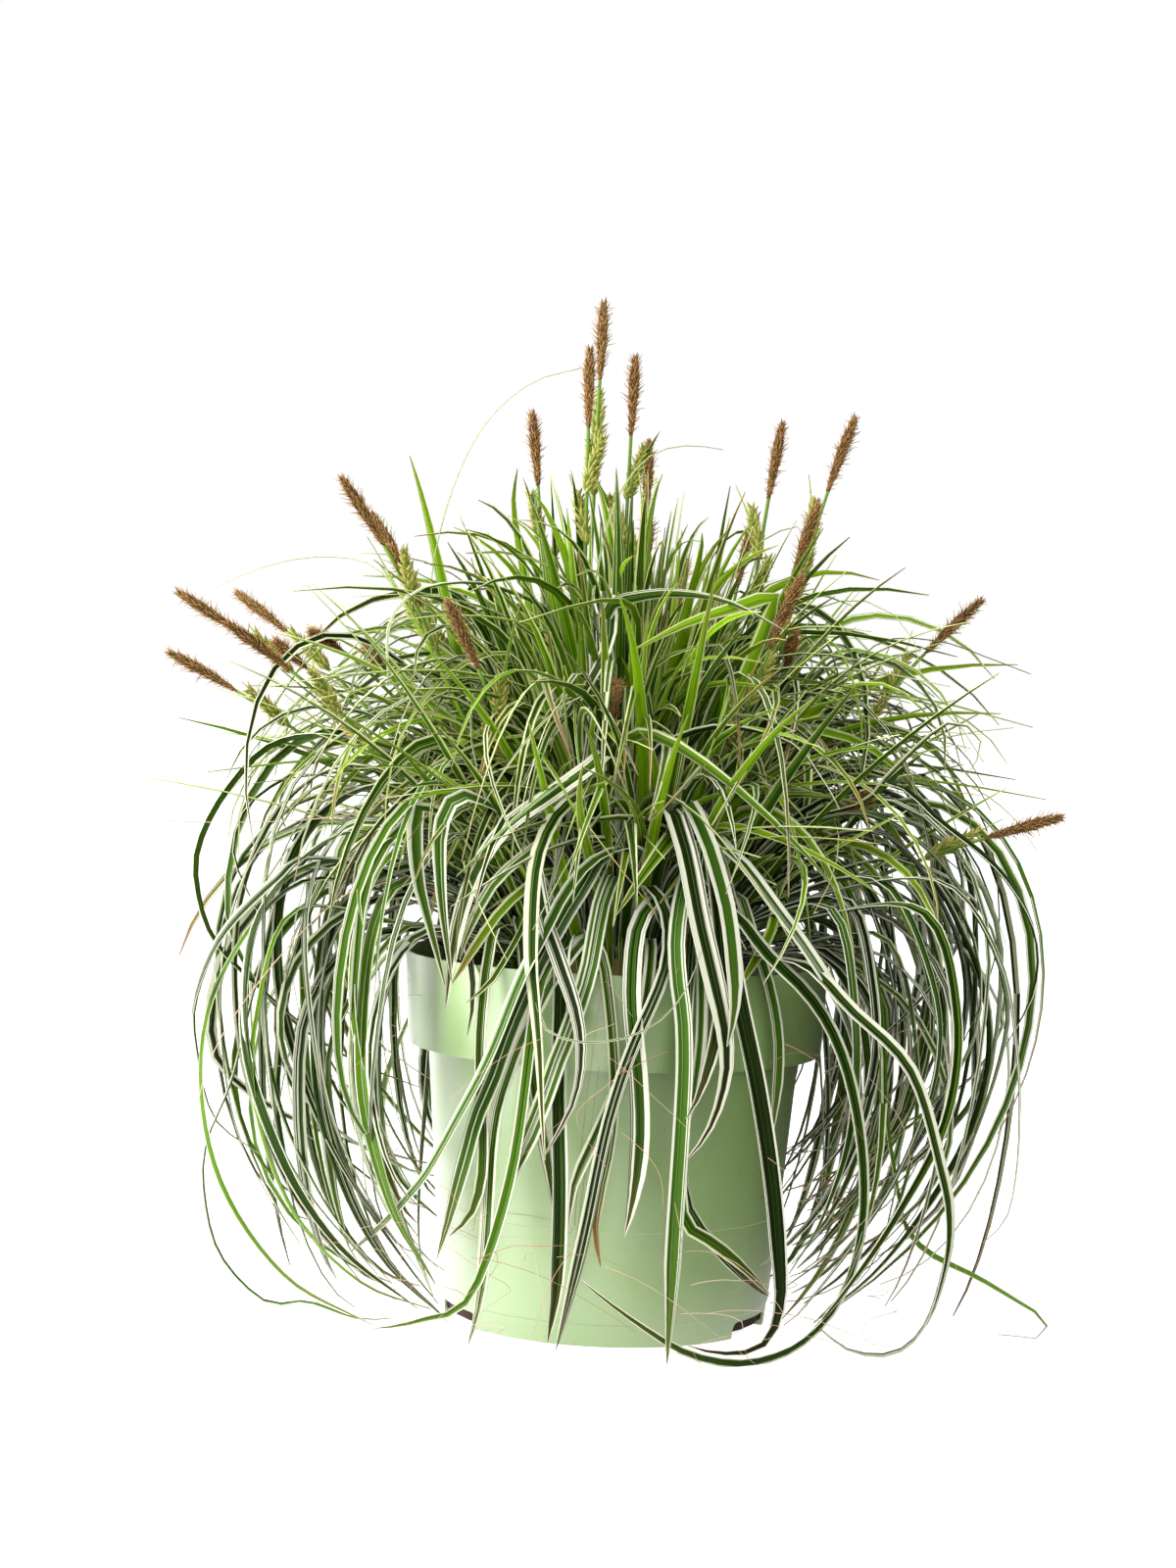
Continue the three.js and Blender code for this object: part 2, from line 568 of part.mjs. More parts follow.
function makeMiddleTuft() {
  const blades = Array.from({ length: MIDDLE_BLADES }, (_, number) => drawMiddleBlade(number));
  const parts = blades.filter(clearOfStems).map((blade) => toSolid(makeBlade(blade)));
  parts.push(toSolid(roundPlug(SHEATH.middleRadius, SOIL.tuftHoleFloor + CLEARANCE, SHEATH.height)));
  return toGeometry(wasm.Manifold.union(parts));
}

function drawMiddleBlade(number) {
  const draw = new Draw(5000 + number);
  const bisector = (360 / MIDDLE_BLADES) * number + draw.around(10);
  const blade = { habit: 'fresh', bisector, offset: 0, drift: draw.around(10), twist: draw.around(50) };
  blade.rootReach = number % 2 ? 3 : 8;
  blade.tip = [draw.between(2, 20), CROWN_HEIGHT + draw.between(130, 205)];
  blade.arch = draw.between(0.02, 0.2);
  blade.width = draw.between(4, 6);
  return blade;
}

// ---------------------------------------------------------------- the assembly
const FINISH = {
  pot: { color: 0xa3b584, roughness: 0.55 },
  soil: { color: 0x2a211b, roughness: 0.95 },
  leaf: { color: 0x4f7a33, roughness: 0.5 },
  stem: { color: 0x8fa548, roughness: 0.55 },
  pollen: { color: 0x8a5f3c, roughness: 0.85 },
};

const sedge = new THREE.Group();

function addPiece(name, geometry, finish) {
  const mesh = new THREE.Mesh(geometry, new THREE.MeshStandardMaterial({ ...FINISH[finish], metalness: 0 }));
  mesh.name = name;
  sedge.add(mesh);
}

const twoDigits = (number) => String(number).padStart(2, '0');

addPiece('pot', makePot(), 'pot');
addPiece('soil', makeSoil(), 'soil');
addPiece('middle_tuft', makeMiddleTuft(), 'leaf');
for (let tuft = 0; tuft < TUFTS; tuft++) {
  addPiece(`leaf_tuft_${twoDigits(tuft + 1)}`, makeTuft(tuft), 'leaf');
}
STEMS.forEach((stem, index) => {
  addPiece(`flower_stem_${twoDigits(index + 1)}`, makeStem(stem), 'stem');
  addPiece(`pollen_spike_${twoDigits(index + 1)}`, makePollenSpike(stem), 'pollen');
});

export default sedge;
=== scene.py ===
# %% [markdown]
# # A variegated sedge in its nursery pot
# The plant is a low, tufted sedge. Its leaves are narrow blades with pale margins: old ones arch
# over and hang round the pot, fresh ones stand in a fan. Thin stems carry green seed spikelets and
# brown pollen spikes. The pot, the soil and a plain version of every tuft and stem come from a
# fixed frame, and this lesson dresses them: it lays finer blades along the same lines, adds the
# many more that a real plant has, and gives each surface its finish.

# %% Load the frame
import math

import bmesh
import bpy
import numpy as np
from mathutils import Matrix, Vector


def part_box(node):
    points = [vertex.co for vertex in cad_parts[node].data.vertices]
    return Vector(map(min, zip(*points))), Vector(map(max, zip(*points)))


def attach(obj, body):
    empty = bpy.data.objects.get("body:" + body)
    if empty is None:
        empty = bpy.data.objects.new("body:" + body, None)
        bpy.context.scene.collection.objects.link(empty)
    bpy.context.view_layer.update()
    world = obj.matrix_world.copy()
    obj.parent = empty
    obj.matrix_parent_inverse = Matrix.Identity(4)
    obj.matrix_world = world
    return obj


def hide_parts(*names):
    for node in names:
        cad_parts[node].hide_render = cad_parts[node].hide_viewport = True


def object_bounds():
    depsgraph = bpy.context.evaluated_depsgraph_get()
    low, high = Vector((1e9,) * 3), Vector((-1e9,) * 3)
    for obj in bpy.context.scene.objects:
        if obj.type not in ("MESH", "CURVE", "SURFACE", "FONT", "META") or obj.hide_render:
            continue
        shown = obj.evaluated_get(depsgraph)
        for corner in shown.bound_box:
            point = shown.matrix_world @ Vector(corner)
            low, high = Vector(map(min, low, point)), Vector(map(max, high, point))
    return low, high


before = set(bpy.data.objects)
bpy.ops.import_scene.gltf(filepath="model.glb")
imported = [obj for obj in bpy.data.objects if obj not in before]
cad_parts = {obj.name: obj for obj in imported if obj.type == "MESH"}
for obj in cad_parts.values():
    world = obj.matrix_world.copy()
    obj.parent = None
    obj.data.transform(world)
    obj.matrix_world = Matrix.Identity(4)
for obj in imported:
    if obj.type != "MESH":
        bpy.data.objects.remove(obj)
frame_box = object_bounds()
MM = 0.001
frame_sides = [round(side / MM) for side in frame_box[1] - frame_box[0]]
print("frame:", len(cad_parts), "nodes,", frame_sides, "mm")

# %% [markdown]
# ## Where the camera stands
# A long lens from a little over a metre away keeps the pot's sides straight. The camera looks
# slightly down, and is turned a little about its own axis. The picture is 1200 by 1600 pixels, so
# a lens that is so many pixels long becomes millimetres by way of the 36 mm sensor.

# %% Camera
PICTURE = (1200, 1600)
SENSOR = 36.0
FOCAL_PIXELS = 3045.0
CAMERA_PLACE = Vector((-16.0, -1339.0, 287.0)) * MM
CAMERA_DOWN = math.radians(2.09)
CAMERA_ROLL = math.radians(2.2)

camera_turn = Matrix.Rotation(math.radians(90) - CAMERA_DOWN, 4, "X") @ Matrix.Rotation(CAMERA_ROLL, 4, "Z")
lens = bpy.data.cameras.new("camera")
lens.sensor_width = SENSOR
lens.lens = SENSOR * FOCAL_PIXELS / max(PICTURE)
camera = bpy.data.objects.new("camera", lens)
camera.matrix_world = Matrix.Translation(CAMERA_PLACE) @ camera_turn
bpy.context.scene.collection.objects.link(camera)
bpy.context.scene.camera = camera
print("camera:", round(lens.lens, 1), "mm lens")

# %% [markdown]
# ## Light and floor
# A plant cut out on white stands in a pale room, with a big soft box at its left and a weaker sheet
# of light in front. Area lamps do this. The soft box is close, so the left side is much brighter
# than the right, and it is broad, so the shadows are soft. Smooth plastic also mirrors what stands
# round it, and a lamp that lights the leaves well would be a hard white patch on the pot. So the two
# jobs are kept apart: two lamps light and don't shine, and a large screen at the left shines and
# doesn't light. The room's light, too, is weaker in reflections. It fills the gaps between the
# blades. The floor is a light table: it shows as plain white, while the light that it sends back to
# the plant is that of a grey sheet. Reflections show it dark, with a glow that grows to the left.

# %% World
WHITE = (1.0, 1.0, 1.0, 1.0)
WORLD_STRENGTH = 0.55
WORLD_IN_GLOSS = 0.15

scene = bpy.context.scene
scene.view_settings.view_transform = "Standard"
scene.world = bpy.data.worlds.new("pale_room")
scene.world.use_nodes = True
room = scene.world.node_tree
ray = room.nodes.new("ShaderNodeLightPath").outputs
room_strength = room.nodes.new("ShaderNodeMapRange")
room_strength.inputs["To Min"].default_value = WORLD_STRENGTH
room_strength.inputs["To Max"].default_value = WORLD_IN_GLOSS
room_light = room.nodes["Background"]
room_light.inputs["Color"].default_value = WHITE
room_seen = room.nodes.new("ShaderNodeBackground")
room_seen.inputs["Color"].default_value = WHITE
room_mix = room.nodes.new("ShaderNodeMixShader")
for output, socket in (
    (ray["Is Glossy Ray"], room_strength.inputs["Value"]),
    (room_strength.outputs["Result"], room_light.inputs["Strength"]),
    (ray["Is Camera Ray"], room_mix.inputs[0]),
    (room_light.outputs[0], room_mix.inputs[1]),
    (room_seen.outputs[0], room_mix.inputs[2]),
    (room_mix.outputs[0], room.nodes["World Output"].inputs["Surface"]),
):
    room.links.new(output, socket)
print("world:", WORLD_STRENGTH, "and", WORLD_IN_GLOSS, "in reflections")

# %% Lamps
LAMPS = {
    "soft_box": {
        "from": Vector((-0.92, -0.2, 0.42)), "away": 1.5, "side": 1.3, "watts": 52.0,
        "lights": True, "shines": False,
    },
    "front_sheet": {
        "from": Vector((0.3, -1.0, 0.75)), "away": 2.6, "side": 2.2, "watts": 60.0,
        "lights": True, "shines": False,
    },
    "side_screen": {
        "from": Vector((-1.0, 0.0, 0.3)), "away": 1.5, "side": 2.4, "watts": 100.0,
        "lights": False, "shines": True,
    },
}
LAMP_TARGET = Vector((0, 0, 0.2))

for name, values in LAMPS.items():
    light = bpy.data.lights.new(name, "AREA")
    light.shape = "SQUARE"
    light.size = values["side"]
    light.energy = values["watts"]
    lamp = bpy.data.objects.new(name, light)
    lamp.location = LAMP_TARGET + values["from"].normalized() * values["away"]
    lamp.rotation_euler = values["from"].to_track_quat("Z", "Y").to_euler()
    lamp.visible_camera = False
    lamp.visible_diffuse = values["lights"]
    lamp.visible_glossy = values["shines"]
    scene.collection.objects.link(lamp)
print("lamps:", list(LAMPS))


# %% [markdown]
# ## A short way to write finishes
# Every finish here starts from one Principled shader and mixes colours by masks: noise, the place
# across a blade, or a value kept on the mesh. The small class below adds one node a call and links
# it, so that each finish reads like a recipe. The floor is the first to get one.

# %% Finish helper
def paint(code):
    """A screen colour such as "#8fa548" as the linear colour that the shader works in."""
    parts = [int(code[i:i + 2], 16) / 255 for i in (1, 3, 5)]
    linear = [p / 12.92 if p <= 0.04045 else ((p + 0.055) / 1.055) ** 2.4 for p in parts]
    return (*linear, 1.0)


class Finish:
    """A material, with short calls that add its nodes."""

    def __init__(self, name, **sockets):
        self.material = bpy.data.materials.new(name)
        self.material.use_nodes = True
        self.tree = self.material.node_tree
        self.shader = self.tree.nodes["Principled BSDF"]
        for socket, value in sockets.items():
            self.shader.inputs[socket.replace("_", " ")].default_value = value

    def node(self, kind, inputs=(), **settings):
        node = self.tree.nodes.new(kind)
        for setting, value in settings.items():
            setattr(node, setting, value)
        for socket, value in dict(inputs).items():
            self.join(value, node.inputs[socket])
        return node

    def join(self, value, socket):
        if isinstance(value, bpy.types.NodeSocket):
            self.tree.links.new(value, socket)
        else:
            socket.default_value = value

    def value(self, name):
        return self.node("ShaderNodeAttribute", attribute_name=name).outputs["Fac"]

    def places(self, output):
        return self.node("ShaderNodeTexCoord").outputs[output]

    def math(self, operation, *values, clamp=False):
        inputs = dict(enumerate(values))
        return self.node("ShaderNodeMath", inputs, operation=operation, use_clamp=clamp).outputs[0]

    def noise(self, vector, scale, detail=2.0, roughness=0.5):
        sockets = {"Vector": vector, "Scale": scale, "Detail": detail, "Roughness": roughness}
        return self.node("ShaderNodeTexNoise", sockets).outputs["Fac"]

    def ease(self, value, low, high, start=0.0, end=1.0):
        sockets = {"Value": value, "From Min": low, "From Max": high, "To Min": start, "To Max": end}
        return self.node("ShaderNodeMapRange", sockets, interpolation_type="SMOOTHSTEP").outputs["Result"]

    def mix(self, share, a, b, blend="MIX"):
        node = self.node("ShaderNodeMix", data_type="RGBA", blend_type=blend)
        self.join(share, node.inputs[0])
        self.join(a, node.inputs[6])
        self.join(b, node.inputs[7])
        return node.outputs[2]

    def bump(self, height, distance, strength=1.0):
        sockets = {"Height": height, "Distance": distance, "Strength": strength}
        self.join(self.node("ShaderNodeBump", sockets).outputs["Normal"], self.shader.inputs["Normal"])

    def colour(self, socket):
        self.join(socket, self.shader.inputs["Base Color"])


print("a screen colour for the shader:", [round(part, 3) for part in paint("#8fa548")])

# %% Floor
FLOOR_SIDE = 40.0
# Painted reflection: the floor glows towards its left for reflected rays only, and the pot's left side
# mirrors this as a pale sheen.
LEFT_GLOW_IN_REFLECTIONS = {"from_to": (0.24, -0.34), "strength": 4.6}


def floor_finish():
    finish = Finish("light_table", Roughness=0.9)
    cloud = finish.noise(finish.places("Object"), 3.0)
    ray = finish.node("ShaderNodeLightPath").outputs
    table = finish.mix(cloud, paint("#b4b4b2"), paint("#c2c2c0"))
    finish.colour(finish.mix(ray["Is Glossy Ray"], table, paint("#303030")))
    finish.shader.inputs["Emission Color"].default_value = WHITE
    side = finish.node("ShaderNodeSeparateXYZ", {0: finish.places("Object")}).outputs[0]
    # painted glow, seen only in reflections, that grows towards the floor's left
    painted_reflection_glow = finish.math("MULTIPLY", finish.ease(side, *LEFT_GLOW_IN_REFLECTIONS["from_to"]), LEFT_GLOW_IN_REFLECTIONS["strength"])
    glow = finish.math("MULTIPLY_ADD", painted_reflection_glow, ray["Is Glossy Ray"], ray["Is Camera Ray"])
    finish.join(glow, finish.shader.inputs["Emission Strength"])
    return finish.material


floor_mesh = bpy.data.meshes.new("floor")
floor_bm = bmesh.new()
bmesh.ops.create_grid(floor_bm, x_segments=1, y_segments=1, size=FLOOR_SIDE / 2)
floor_bm.to_mesh(floor_mesh)
floor_bm.free()
floor_mesh.materials.append(floor_finish())
floor = bpy.data.objects.new("floor", floor_mesh)
scene.collection.objects.link(floor)
print("floor:", FLOOR_SIDE, "m")


# %% [markdown]
# ## Turning a mesh into a piece
# All shapes below are worked out in millimetres. One helper scales a finished mesh to metres,
# names it, lets it ride on the plant's one body and says which plain solids it stands for.

# %% Piece helper
def make_piece(name, bm, material, slot, *stands_for):
    bmesh.ops.scale(bm, vec=(MM, MM, MM), verts=bm.verts)
    mesh = bpy.data.meshes.new(name)
    bm.to_mesh(mesh)
    bm.free()
    mesh.materials.append(material)
    mesh.shade_smooth()
    piece = bpy.data.objects.new(name, mesh)
    scene.collection.objects.link(piece)
    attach(piece, "root")
    if stands_for:
        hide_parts(*stands_for)
    return piece


def thicken(piece, thickness):
    solid = piece.modifiers.new("thickness", "SOLIDIFY")
    solid.thickness = thickness * MM
    solid.offset = 0.0


print("a finished mesh is scaled by", MM)


# %% [markdown]
# ## Chance and curves
# No two blades are alike, yet the plant has to grow the same way each time. Each blade draws its
# measures from its own seeded row of numbers. The same rule made the frame's plain blades, so the
# fine ones fall on the same lines.

# %% Draws
class Draw:
    """A seeded row of numbers from 0 to 1."""

    modulus = 2147483647

    def __init__(self, seed):
        self.state = (seed * 7919 + 101) % self.modulus
        for _ in range(4):
            self.next()

    def next(self):
        self.state = self.state * 16807 % self.modulus
        return self.state / self.modulus

    def between(self, low, high):
        return low + (high - low) * self.next()

    def around(self, spread):
        return (self.next() + self.next() - 1) * spread


print("a first draw:", round(Draw(100).next(), 4))


# %% Curves
def mix(a, b, t):
    return a + (b - a) * t


def quadratic(a, b, c, t):
    s = 1 - t
    return s * s * a + 2 * s * t * b + t * t * c


def cubic(a, b, c, d, t):
    s = 1 - t
    return s ** 3 * a + 3 * s * s * t * b + 3 * s * t * t * c + t ** 3 * d


def on_plant(reach, azimuth, height):
    """Points from their reach from the pot's axis, their angle round it and their height."""
    angle = np.radians(azimuth)
    return np.stack([reach * np.cos(angle), reach * np.sin(angle), height + 0 * angle], -1)


def smooth_line(points, count):
    """A smooth curve through a few points, as count points an equal distance apart."""
    points = np.array(points, float)
    ends = [2 * points[0] - points[1], *points, 2 * points[-1] - points[-2]]
    fine = []
    for before, a, b, after in zip(ends, ends[1:], ends[2:], ends[3:]):
        t = np.linspace(0, 1, 12, endpoint=False)[:, None]
        bend = (-before + 3 * a - 3 * b + after) * t ** 3 + (2 * before - 5 * a + 4 * b - after) * t * t
        fine.append(0.5 * (2 * a + (b - before) * t + bend))
    fine = np.vstack([*fine, points[-1:]])
    run = np.concatenate([[0], np.cumsum(np.linalg.norm(np.diff(fine, axis=0), axis=1))])
    even = np.linspace(0, run[-1], count)
    return np.stack([np.interp(even, run, fine[:, axis]) for axis in range(3)], -1)


sample_line = smooth_line([(10, 0, 0), (20, 0, 5), (30, 0, 0)], 5)
print("half way along a curve:", sample_line[2].round(1))


# %% Directions along a line
def unit(vectors):
    return vectors / np.maximum(np.linalg.norm(vectors, axis=-1, keepdims=True), 1e-9)


def line_frame(line, turn=0.0):
    """Along and across directions at each point of a line. Turn is how far it twists to its end."""
    along = unit(np.gradient(line, axis=0))
    start = np.array([-line[0][1], line[0][0], 0.0])
    across = [start]
    for direction in along:
        carried = across[-1] - direction * across[-1].dot(direction)
        across.append(carried / max(np.linalg.norm(carried), 1e-9))
    across = np.array(across[1:])
    third = np.cross(along, across)
    twist = (np.radians(turn) * np.linspace(0, 1, len(line)))[:, None]
    return along, across * np.cos(twist) + third * np.sin(twist)


print("and its direction there:", line_frame(sample_line)[0][2].round(2))


# %% [markdown]
# ## The leaf's finish
# A sedge blade is striped along its whole length: a green middle, a pale margin on each side, and
# often a thin pale line or two inside the green. Old blades are dark green with white margins, fresh
# ones yellow-green with cream. The stripes follow the blade, so they are drawn from its own map:
# noise that is stretched far along the blade and squeezed across it gives lines that hardly change
# from root to tip. Values kept on the mesh say how old a blade is, how broad its margins are, which
# lines it has and where it has dried. A little light shines through, as it does through a thin leaf.

# %% Leaf colours
LEAF = {
    "old_green": "#14240a",
    "old_light_green": "#44701a",
    "fresh_green": "#2a5206",
    "fresh_light_green": "#93c312",
    "old_margin": "#eeeedb",
    "fresh_margin": "#dbe08e",
    "shining": "#e0efa6",
    "dry": "#b98d55",
    "dry_dark": "#74472a",
}
LINES_ACROSS = 11.0
VEINS_ACROSS = 30.0
MARGIN_WANDERS = 0.4
MARGIN_BLUR = 0.03
GREEN_IN_MARGIN = 0.9
PALE_IN_GREEN = 0.92
BLADES_DIFFER = 0.36
SHINE_THROUGH = 0.24


print("leaf colours:", len(LEAF))


# %% Leaf finish
def leaf_finish():
    finish = Finish("striped_leaf", Roughness=0.38, Specular_IOR_Level=0.08)
    age = finish.value("age")
    tint = finish.value("tint")
    place = finish.node("ShaderNodeSeparateXYZ", {0: finish.places("UV")})
    edge = finish.math("ABSOLUTE", finish.math("MULTIPLY_ADD", place.outputs[0], 2.0, -1.0))

    def lines(across, along):
        spread = finish.node("ShaderNodeCombineXYZ", {
            0: finish.math("MULTIPLY", place.outputs[0], across),
            1: finish.math("MULTIPLY", place.outputs[1], along),
            2: finish.math("MULTIPLY", tint, 40.0),
        })
        return finish.noise(spread.outputs[0], 1.0, detail=1.0)

    def own_share(factor):
        """A value from 0 to 1 of each blade's own, made from its tint."""
        return finish.math("FRACT", finish.math("MULTIPLY", tint, factor))

    fine = lines(LINES_ACROSS, 0.5)
    veins = lines(VEINS_ACROSS, 1.2)
    wander = finish.math("MULTIPLY", finish.math("SUBTRACT", lines(2.0, 1.0), 0.5), MARGIN_WANDERS)
    inside = finish.math("SUBTRACT", 1.0, finish.value("margin"))
    into_margin = finish.math("SUBTRACT", finish.math("ADD", edge, wander), inside)
    margin_share = finish.ease(into_margin, -MARGIN_BLUR, MARGIN_BLUR)
    green_lines = finish.math("MULTIPLY", finish.ease(fine, 0.44, 0.39), GREEN_IN_MARGIN)
    green_share = finish.math("MULTIPLY", margin_share, green_lines)
    pale = finish.math("SUBTRACT", margin_share, green_share, clamp=True)
    fewest = finish.math("MULTIPLY_ADD", own_share(7.3), 0.16, 0.64)
    fewest = finish.math("MULTIPLY_ADD", age, -0.08, fewest)
    thin_lines = finish.ease(fine, fewest, finish.math("ADD", fewest, 0.04))
    pale = finish.math("MAXIMUM", pale, finish.math("MULTIPLY", thin_lines, PALE_IN_GREEN))

    shade = finish.math("MULTIPLY_ADD", own_share(13.1), BLADES_DIFFER, -BLADES_DIFFER / 2)
    light = finish.ease(finish.math("ADD", veins, shade), 0.43, 0.62)
    old = finish.mix(light, paint(LEAF["old_green"]), paint(LEAF["old_light_green"]))
    fresh = finish.mix(light, paint(LEAF["fresh_green"]), paint(LEAF["fresh_light_green"]))
    margin = finish.mix(age, paint(LEAF["fresh_margin"]), paint(LEAF["old_margin"]))
    blade = finish.mix(pale, finish.mix(age, fresh, old), margin)
    withered = finish.mix(veins, paint(LEAF["dry"]), paint(LEAF["dry_dark"]))
    speckle = finish.math("MULTIPLY", finish.math("SUBTRACT", veins, 0.5), 0.3)
    colour = finish.mix(finish.math("ADD", finish.value("dry"), speckle, clamp=True), blade, withered)
    finish.colour(colour)
    finish.bump(veins, 0.00015, 0.5)

    shining = finish.mix(1.0, colour, paint(LEAF["shining"]), "MULTIPLY")
    through = finish.node("ShaderNodeBsdfTranslucent", {"Color": shining})
    both = {0: SHINE_THROUGH, 1: finish.shader.outputs[0], 2: through.outputs[0]}
    shader = finish.node("ShaderNodeMixShader", both).outputs[0]
    finish.join(shader, finish.tree.nodes["Material Output"].inputs["Surface"])
    return finish.material


leaf = leaf_finish()
print("leaf finish:", len(leaf.node_tree.nodes), "nodes")

# %% [markdown]
# ## One blade
# A blade is a flat strip that grows out of the crown, gets its full width after a short neck and
# narrows to a hair at its tip. It is folded along its midrib, with the keel underneath, and the fold
# is sharp: one half is in the light while the other is in shade. A grid does this well: its rows are
# laid along the line and its columns across it. Pushing the middle down makes the fold, and a thin
# Solidify makes it a closed leaf. The midrib and the borders are marked as sharp edges, so that the
# two halves and the thin rim are shaded as the flat faces that they are.

# %% Blade
CROWN_HEIGHT = 151.0
LEAF_THICKNESS = 0.35
BASE_WIDTH = 0.25
SWELLING = 0.25
TIP_SHARE = 0.42
TIP_WIDTH = 0.05
POINT_CURVE = 0.8
KEEL = 0.36
KEEL_CURVE = 0.8
DRY_FROM = 0.72
DRY_OVER = 0.25
ROWS = {"hanging": 22, "arching": 17, "fresh": 13}
LOOKS = ("age", "margin", "tint", "dry")


def new_leaves():
    bm = bmesh.new()
    bm.loops.layers.uv.verify()
    for look in LOOKS:
        bm.verts.layers.float.new(look)
    return bm


def blade_width(share, tip_share):
    """Width at a share of the length, as a share of the full width."""
    neck = mix(BASE_WIDTH, 1, np.minimum(1, share / SWELLING))
    point = np.minimum(1, (1 - share) / tip_share) ** POINT_CURVE
    return neck * mix(TIP_WIDTH, 1, point)


def add_blade(bm, line, width, look, turn=0.0, columns=2):
    along, across = line_frame(line, turn)
    up = np.cross(along, across)
    share = np.linspace(0, 1, len(line))
    half = (width / 2 * blade_width(share, look.get("tip_share", TIP_SHARE)))[:, None, None]
    side = np.linspace(-1, 1, columns + 1)[None, :, None]
    lift = KEEL * (np.abs(side) ** KEEL_CURVE - 0.5)
    places = line[:, None] + half * (across[:, None] * side + up[:, None] * lift)
    grid = bmesh.ops.create_grid(bm, x_segments=columns, y_segments=len(line) - 1, size=0.5, calc_uvs=True)
    layers = [bm.verts.layers.float[name] for name in LOOKS]
    dry_end = look["dry"] * np.clip((share - DRY_FROM) / DRY_OVER, 0, 1) ** 2
    dry = np.repeat(np.maximum(dry_end, look.get("withered", 0.0)), columns + 1)
    for vert, place, dryness in zip(grid["verts"], places.reshape(-1, 3), dry):
        vert.co = place
        for layer, value in zip(layers, (look["age"], look["margin"], look["tint"], dryness)):
            vert[layer] = value
    midrib = set(grid["verts"][columns // 2::columns + 1])
    for vert in grid["verts"]:
        for edge in vert.link_edges:
            if edge.is_boundary or midrib.issuperset(edge.verts):
                edge.smooth = False


print("a blade's width near its tip:", round(float(blade_width(0.9, TIP_SHARE)), 2), "of the full width")


# %% [markdown]
# ## Where each blade goes
# The crown is a ring of fourteen tufts with one more in the middle. In each tuft the old blades
# stand at the outside and hang, the next ones arch, and the fresh ones stand up. A blade's path is
# drawn in the upright plane through the pot's axis: it rises to its apex, falls to its belly, where
# it is furthest out, and hangs from there to its tip. The blades listed in FINER_BELOW are left out
# here, because the long blades further down stand for them.

# %% Slots of a tuft
FRONT = -90.0
TUFTS = 14
TUFT_ANGLE = 360 / TUFTS
GATHERED = 0.15
ROOT_OFFSET = 0.75
COLLAR_FOOT = 121.0
CLOSEST_TO_COLLAR = 104.0
CLOSEST_TO_BODY = 92.0
SET_CURL = 0.3
LOWEST = 2.0
SLOTS = [
    {"habit": "hanging", "offset": -8.5, "root": 42},
    {"habit": "hanging", "offset": -3, "root": 38},
    {"habit": "hanging", "offset": 3, "root": 42},
    {"habit": "hanging", "offset": 8.5, "root": 38},
    {"habit": "arching", "offset": -6, "root": 34},
    {"habit": "arching", "offset": 0, "root": 36},
    {"habit": "arching", "offset": 6, "root": 34},
    {"habit": "fresh", "offset": -7.5, "root": 30, "lean": 0.35},
    {"habit": "fresh", "offset": -4.5, "root": 45, "lean": 0.8},
    {"habit": "fresh", "offset": 0, "root": 27, "lean": 0.05},
    {"habit": "fresh", "offset": 4.5, "root": 29, "lean": 0.25},
    {"habit": "fresh", "offset": 7.5, "root": 45, "lean": 0.65},
]
SET_BLADES = [
    {
        "tuft": 2, "slot": 3, "offset": 6, "drift": -6, "width": 9,
        "apex": (90, 214), "belly": (140, 96), "tip": (118, 12),
    },
    {
        "tuft": 3, "slot": 1, "offset": -3, "drift": -3, "width": 7.5,
        "apex": (128, 246), "belly": (192, 160), "tip": (176, 96),
    },
    {"tuft": 11, "slot": 7, "offset": -7, "drift": 3, "width": 4.5, "tip": (193, 236), "arch": 0.3},
]
FINER_BELOW = {
    (0, 0), (0, 1), (0, 2), (0, 3), (1, 0), (1, 1), (1, 2), (1, 3), (2, 0), (2, 1), (2, 2), (3, 0),
    (10, 10), (11, 0), (11, 1), (11, 2), (11, 3), (12, 0), (12, 1), (12, 2), (12, 3),
    (13, 0), (13, 1), (13, 2), (13, 3),
}


print("slots of a tuft:", len(SLOTS), "with", len(FINER_BELOW), "blades left for the long ones")


# %% Blades of the frame
def draw_blade(tuft, slot):
    """A blade of the frame: its measures are drawn by its tuft and its slot."""
    draw = Draw(100 * tuft + slot)
    blade = {**SLOTS[slot], "bisector": FRONT + tuft * TUFT_ANGLE, "turn": draw.around(40)}
    front = max(0.0, math.cos(math.radians(tuft * TUFT_ANGLE))) ** 2
    blade["drift"] = draw.around(2.5)
    if blade["habit"] == "hanging":
        belly = draw.between(116, mix(190, 134, front))
        belly_height = draw.between(80, 165)
        blade["apex"] = (mix(45, belly, draw.between(0.42, 0.6)), draw.between(205, 262))
        blade["belly"] = (belly, belly_height)
        tip_height = max(LOWEST, belly_height - draw.between(70, 160))
        closest = CLOSEST_TO_BODY if tip_height < COLLAR_FOOT - 1.2 else CLOSEST_TO_COLLAR
        blade["tip"] = (max(closest, belly - draw.between(15, 90)), tip_height)
        blade["curl"] = draw.between(0.45, 0.95)
        blade["width"] = draw.between(6, 9.5)
    elif blade["habit"] == "arching":
        belly = draw.between(110, mix(185, 145, front))
        apex_height = draw.between(250, 312) - 0.12 * (belly - 100)
        blade["apex"] = (mix(35, belly, draw.between(0.42, 0.62)), apex_height)
        blade["belly"] = (belly, apex_height - draw.between(45, 110))
        blade["share"] = draw.between(0.6, 1)
        blade["width"] = draw.between(4.5, 7)
    else:
        lean = math.radians(mix(4, 60, blade["lean"] + draw.around(0.1)))
        length = draw.between(160, 232) - 24 * math.sin(lean)
        blade["tip"] = (length * math.sin(lean), CROWN_HEIGHT + length * math.cos(lean))
        blade["arch"] = draw.between(0.04, mix(0.15, 0.55, blade["lean"]))
        blade["width"] = draw.between(4, 6)
    return blade


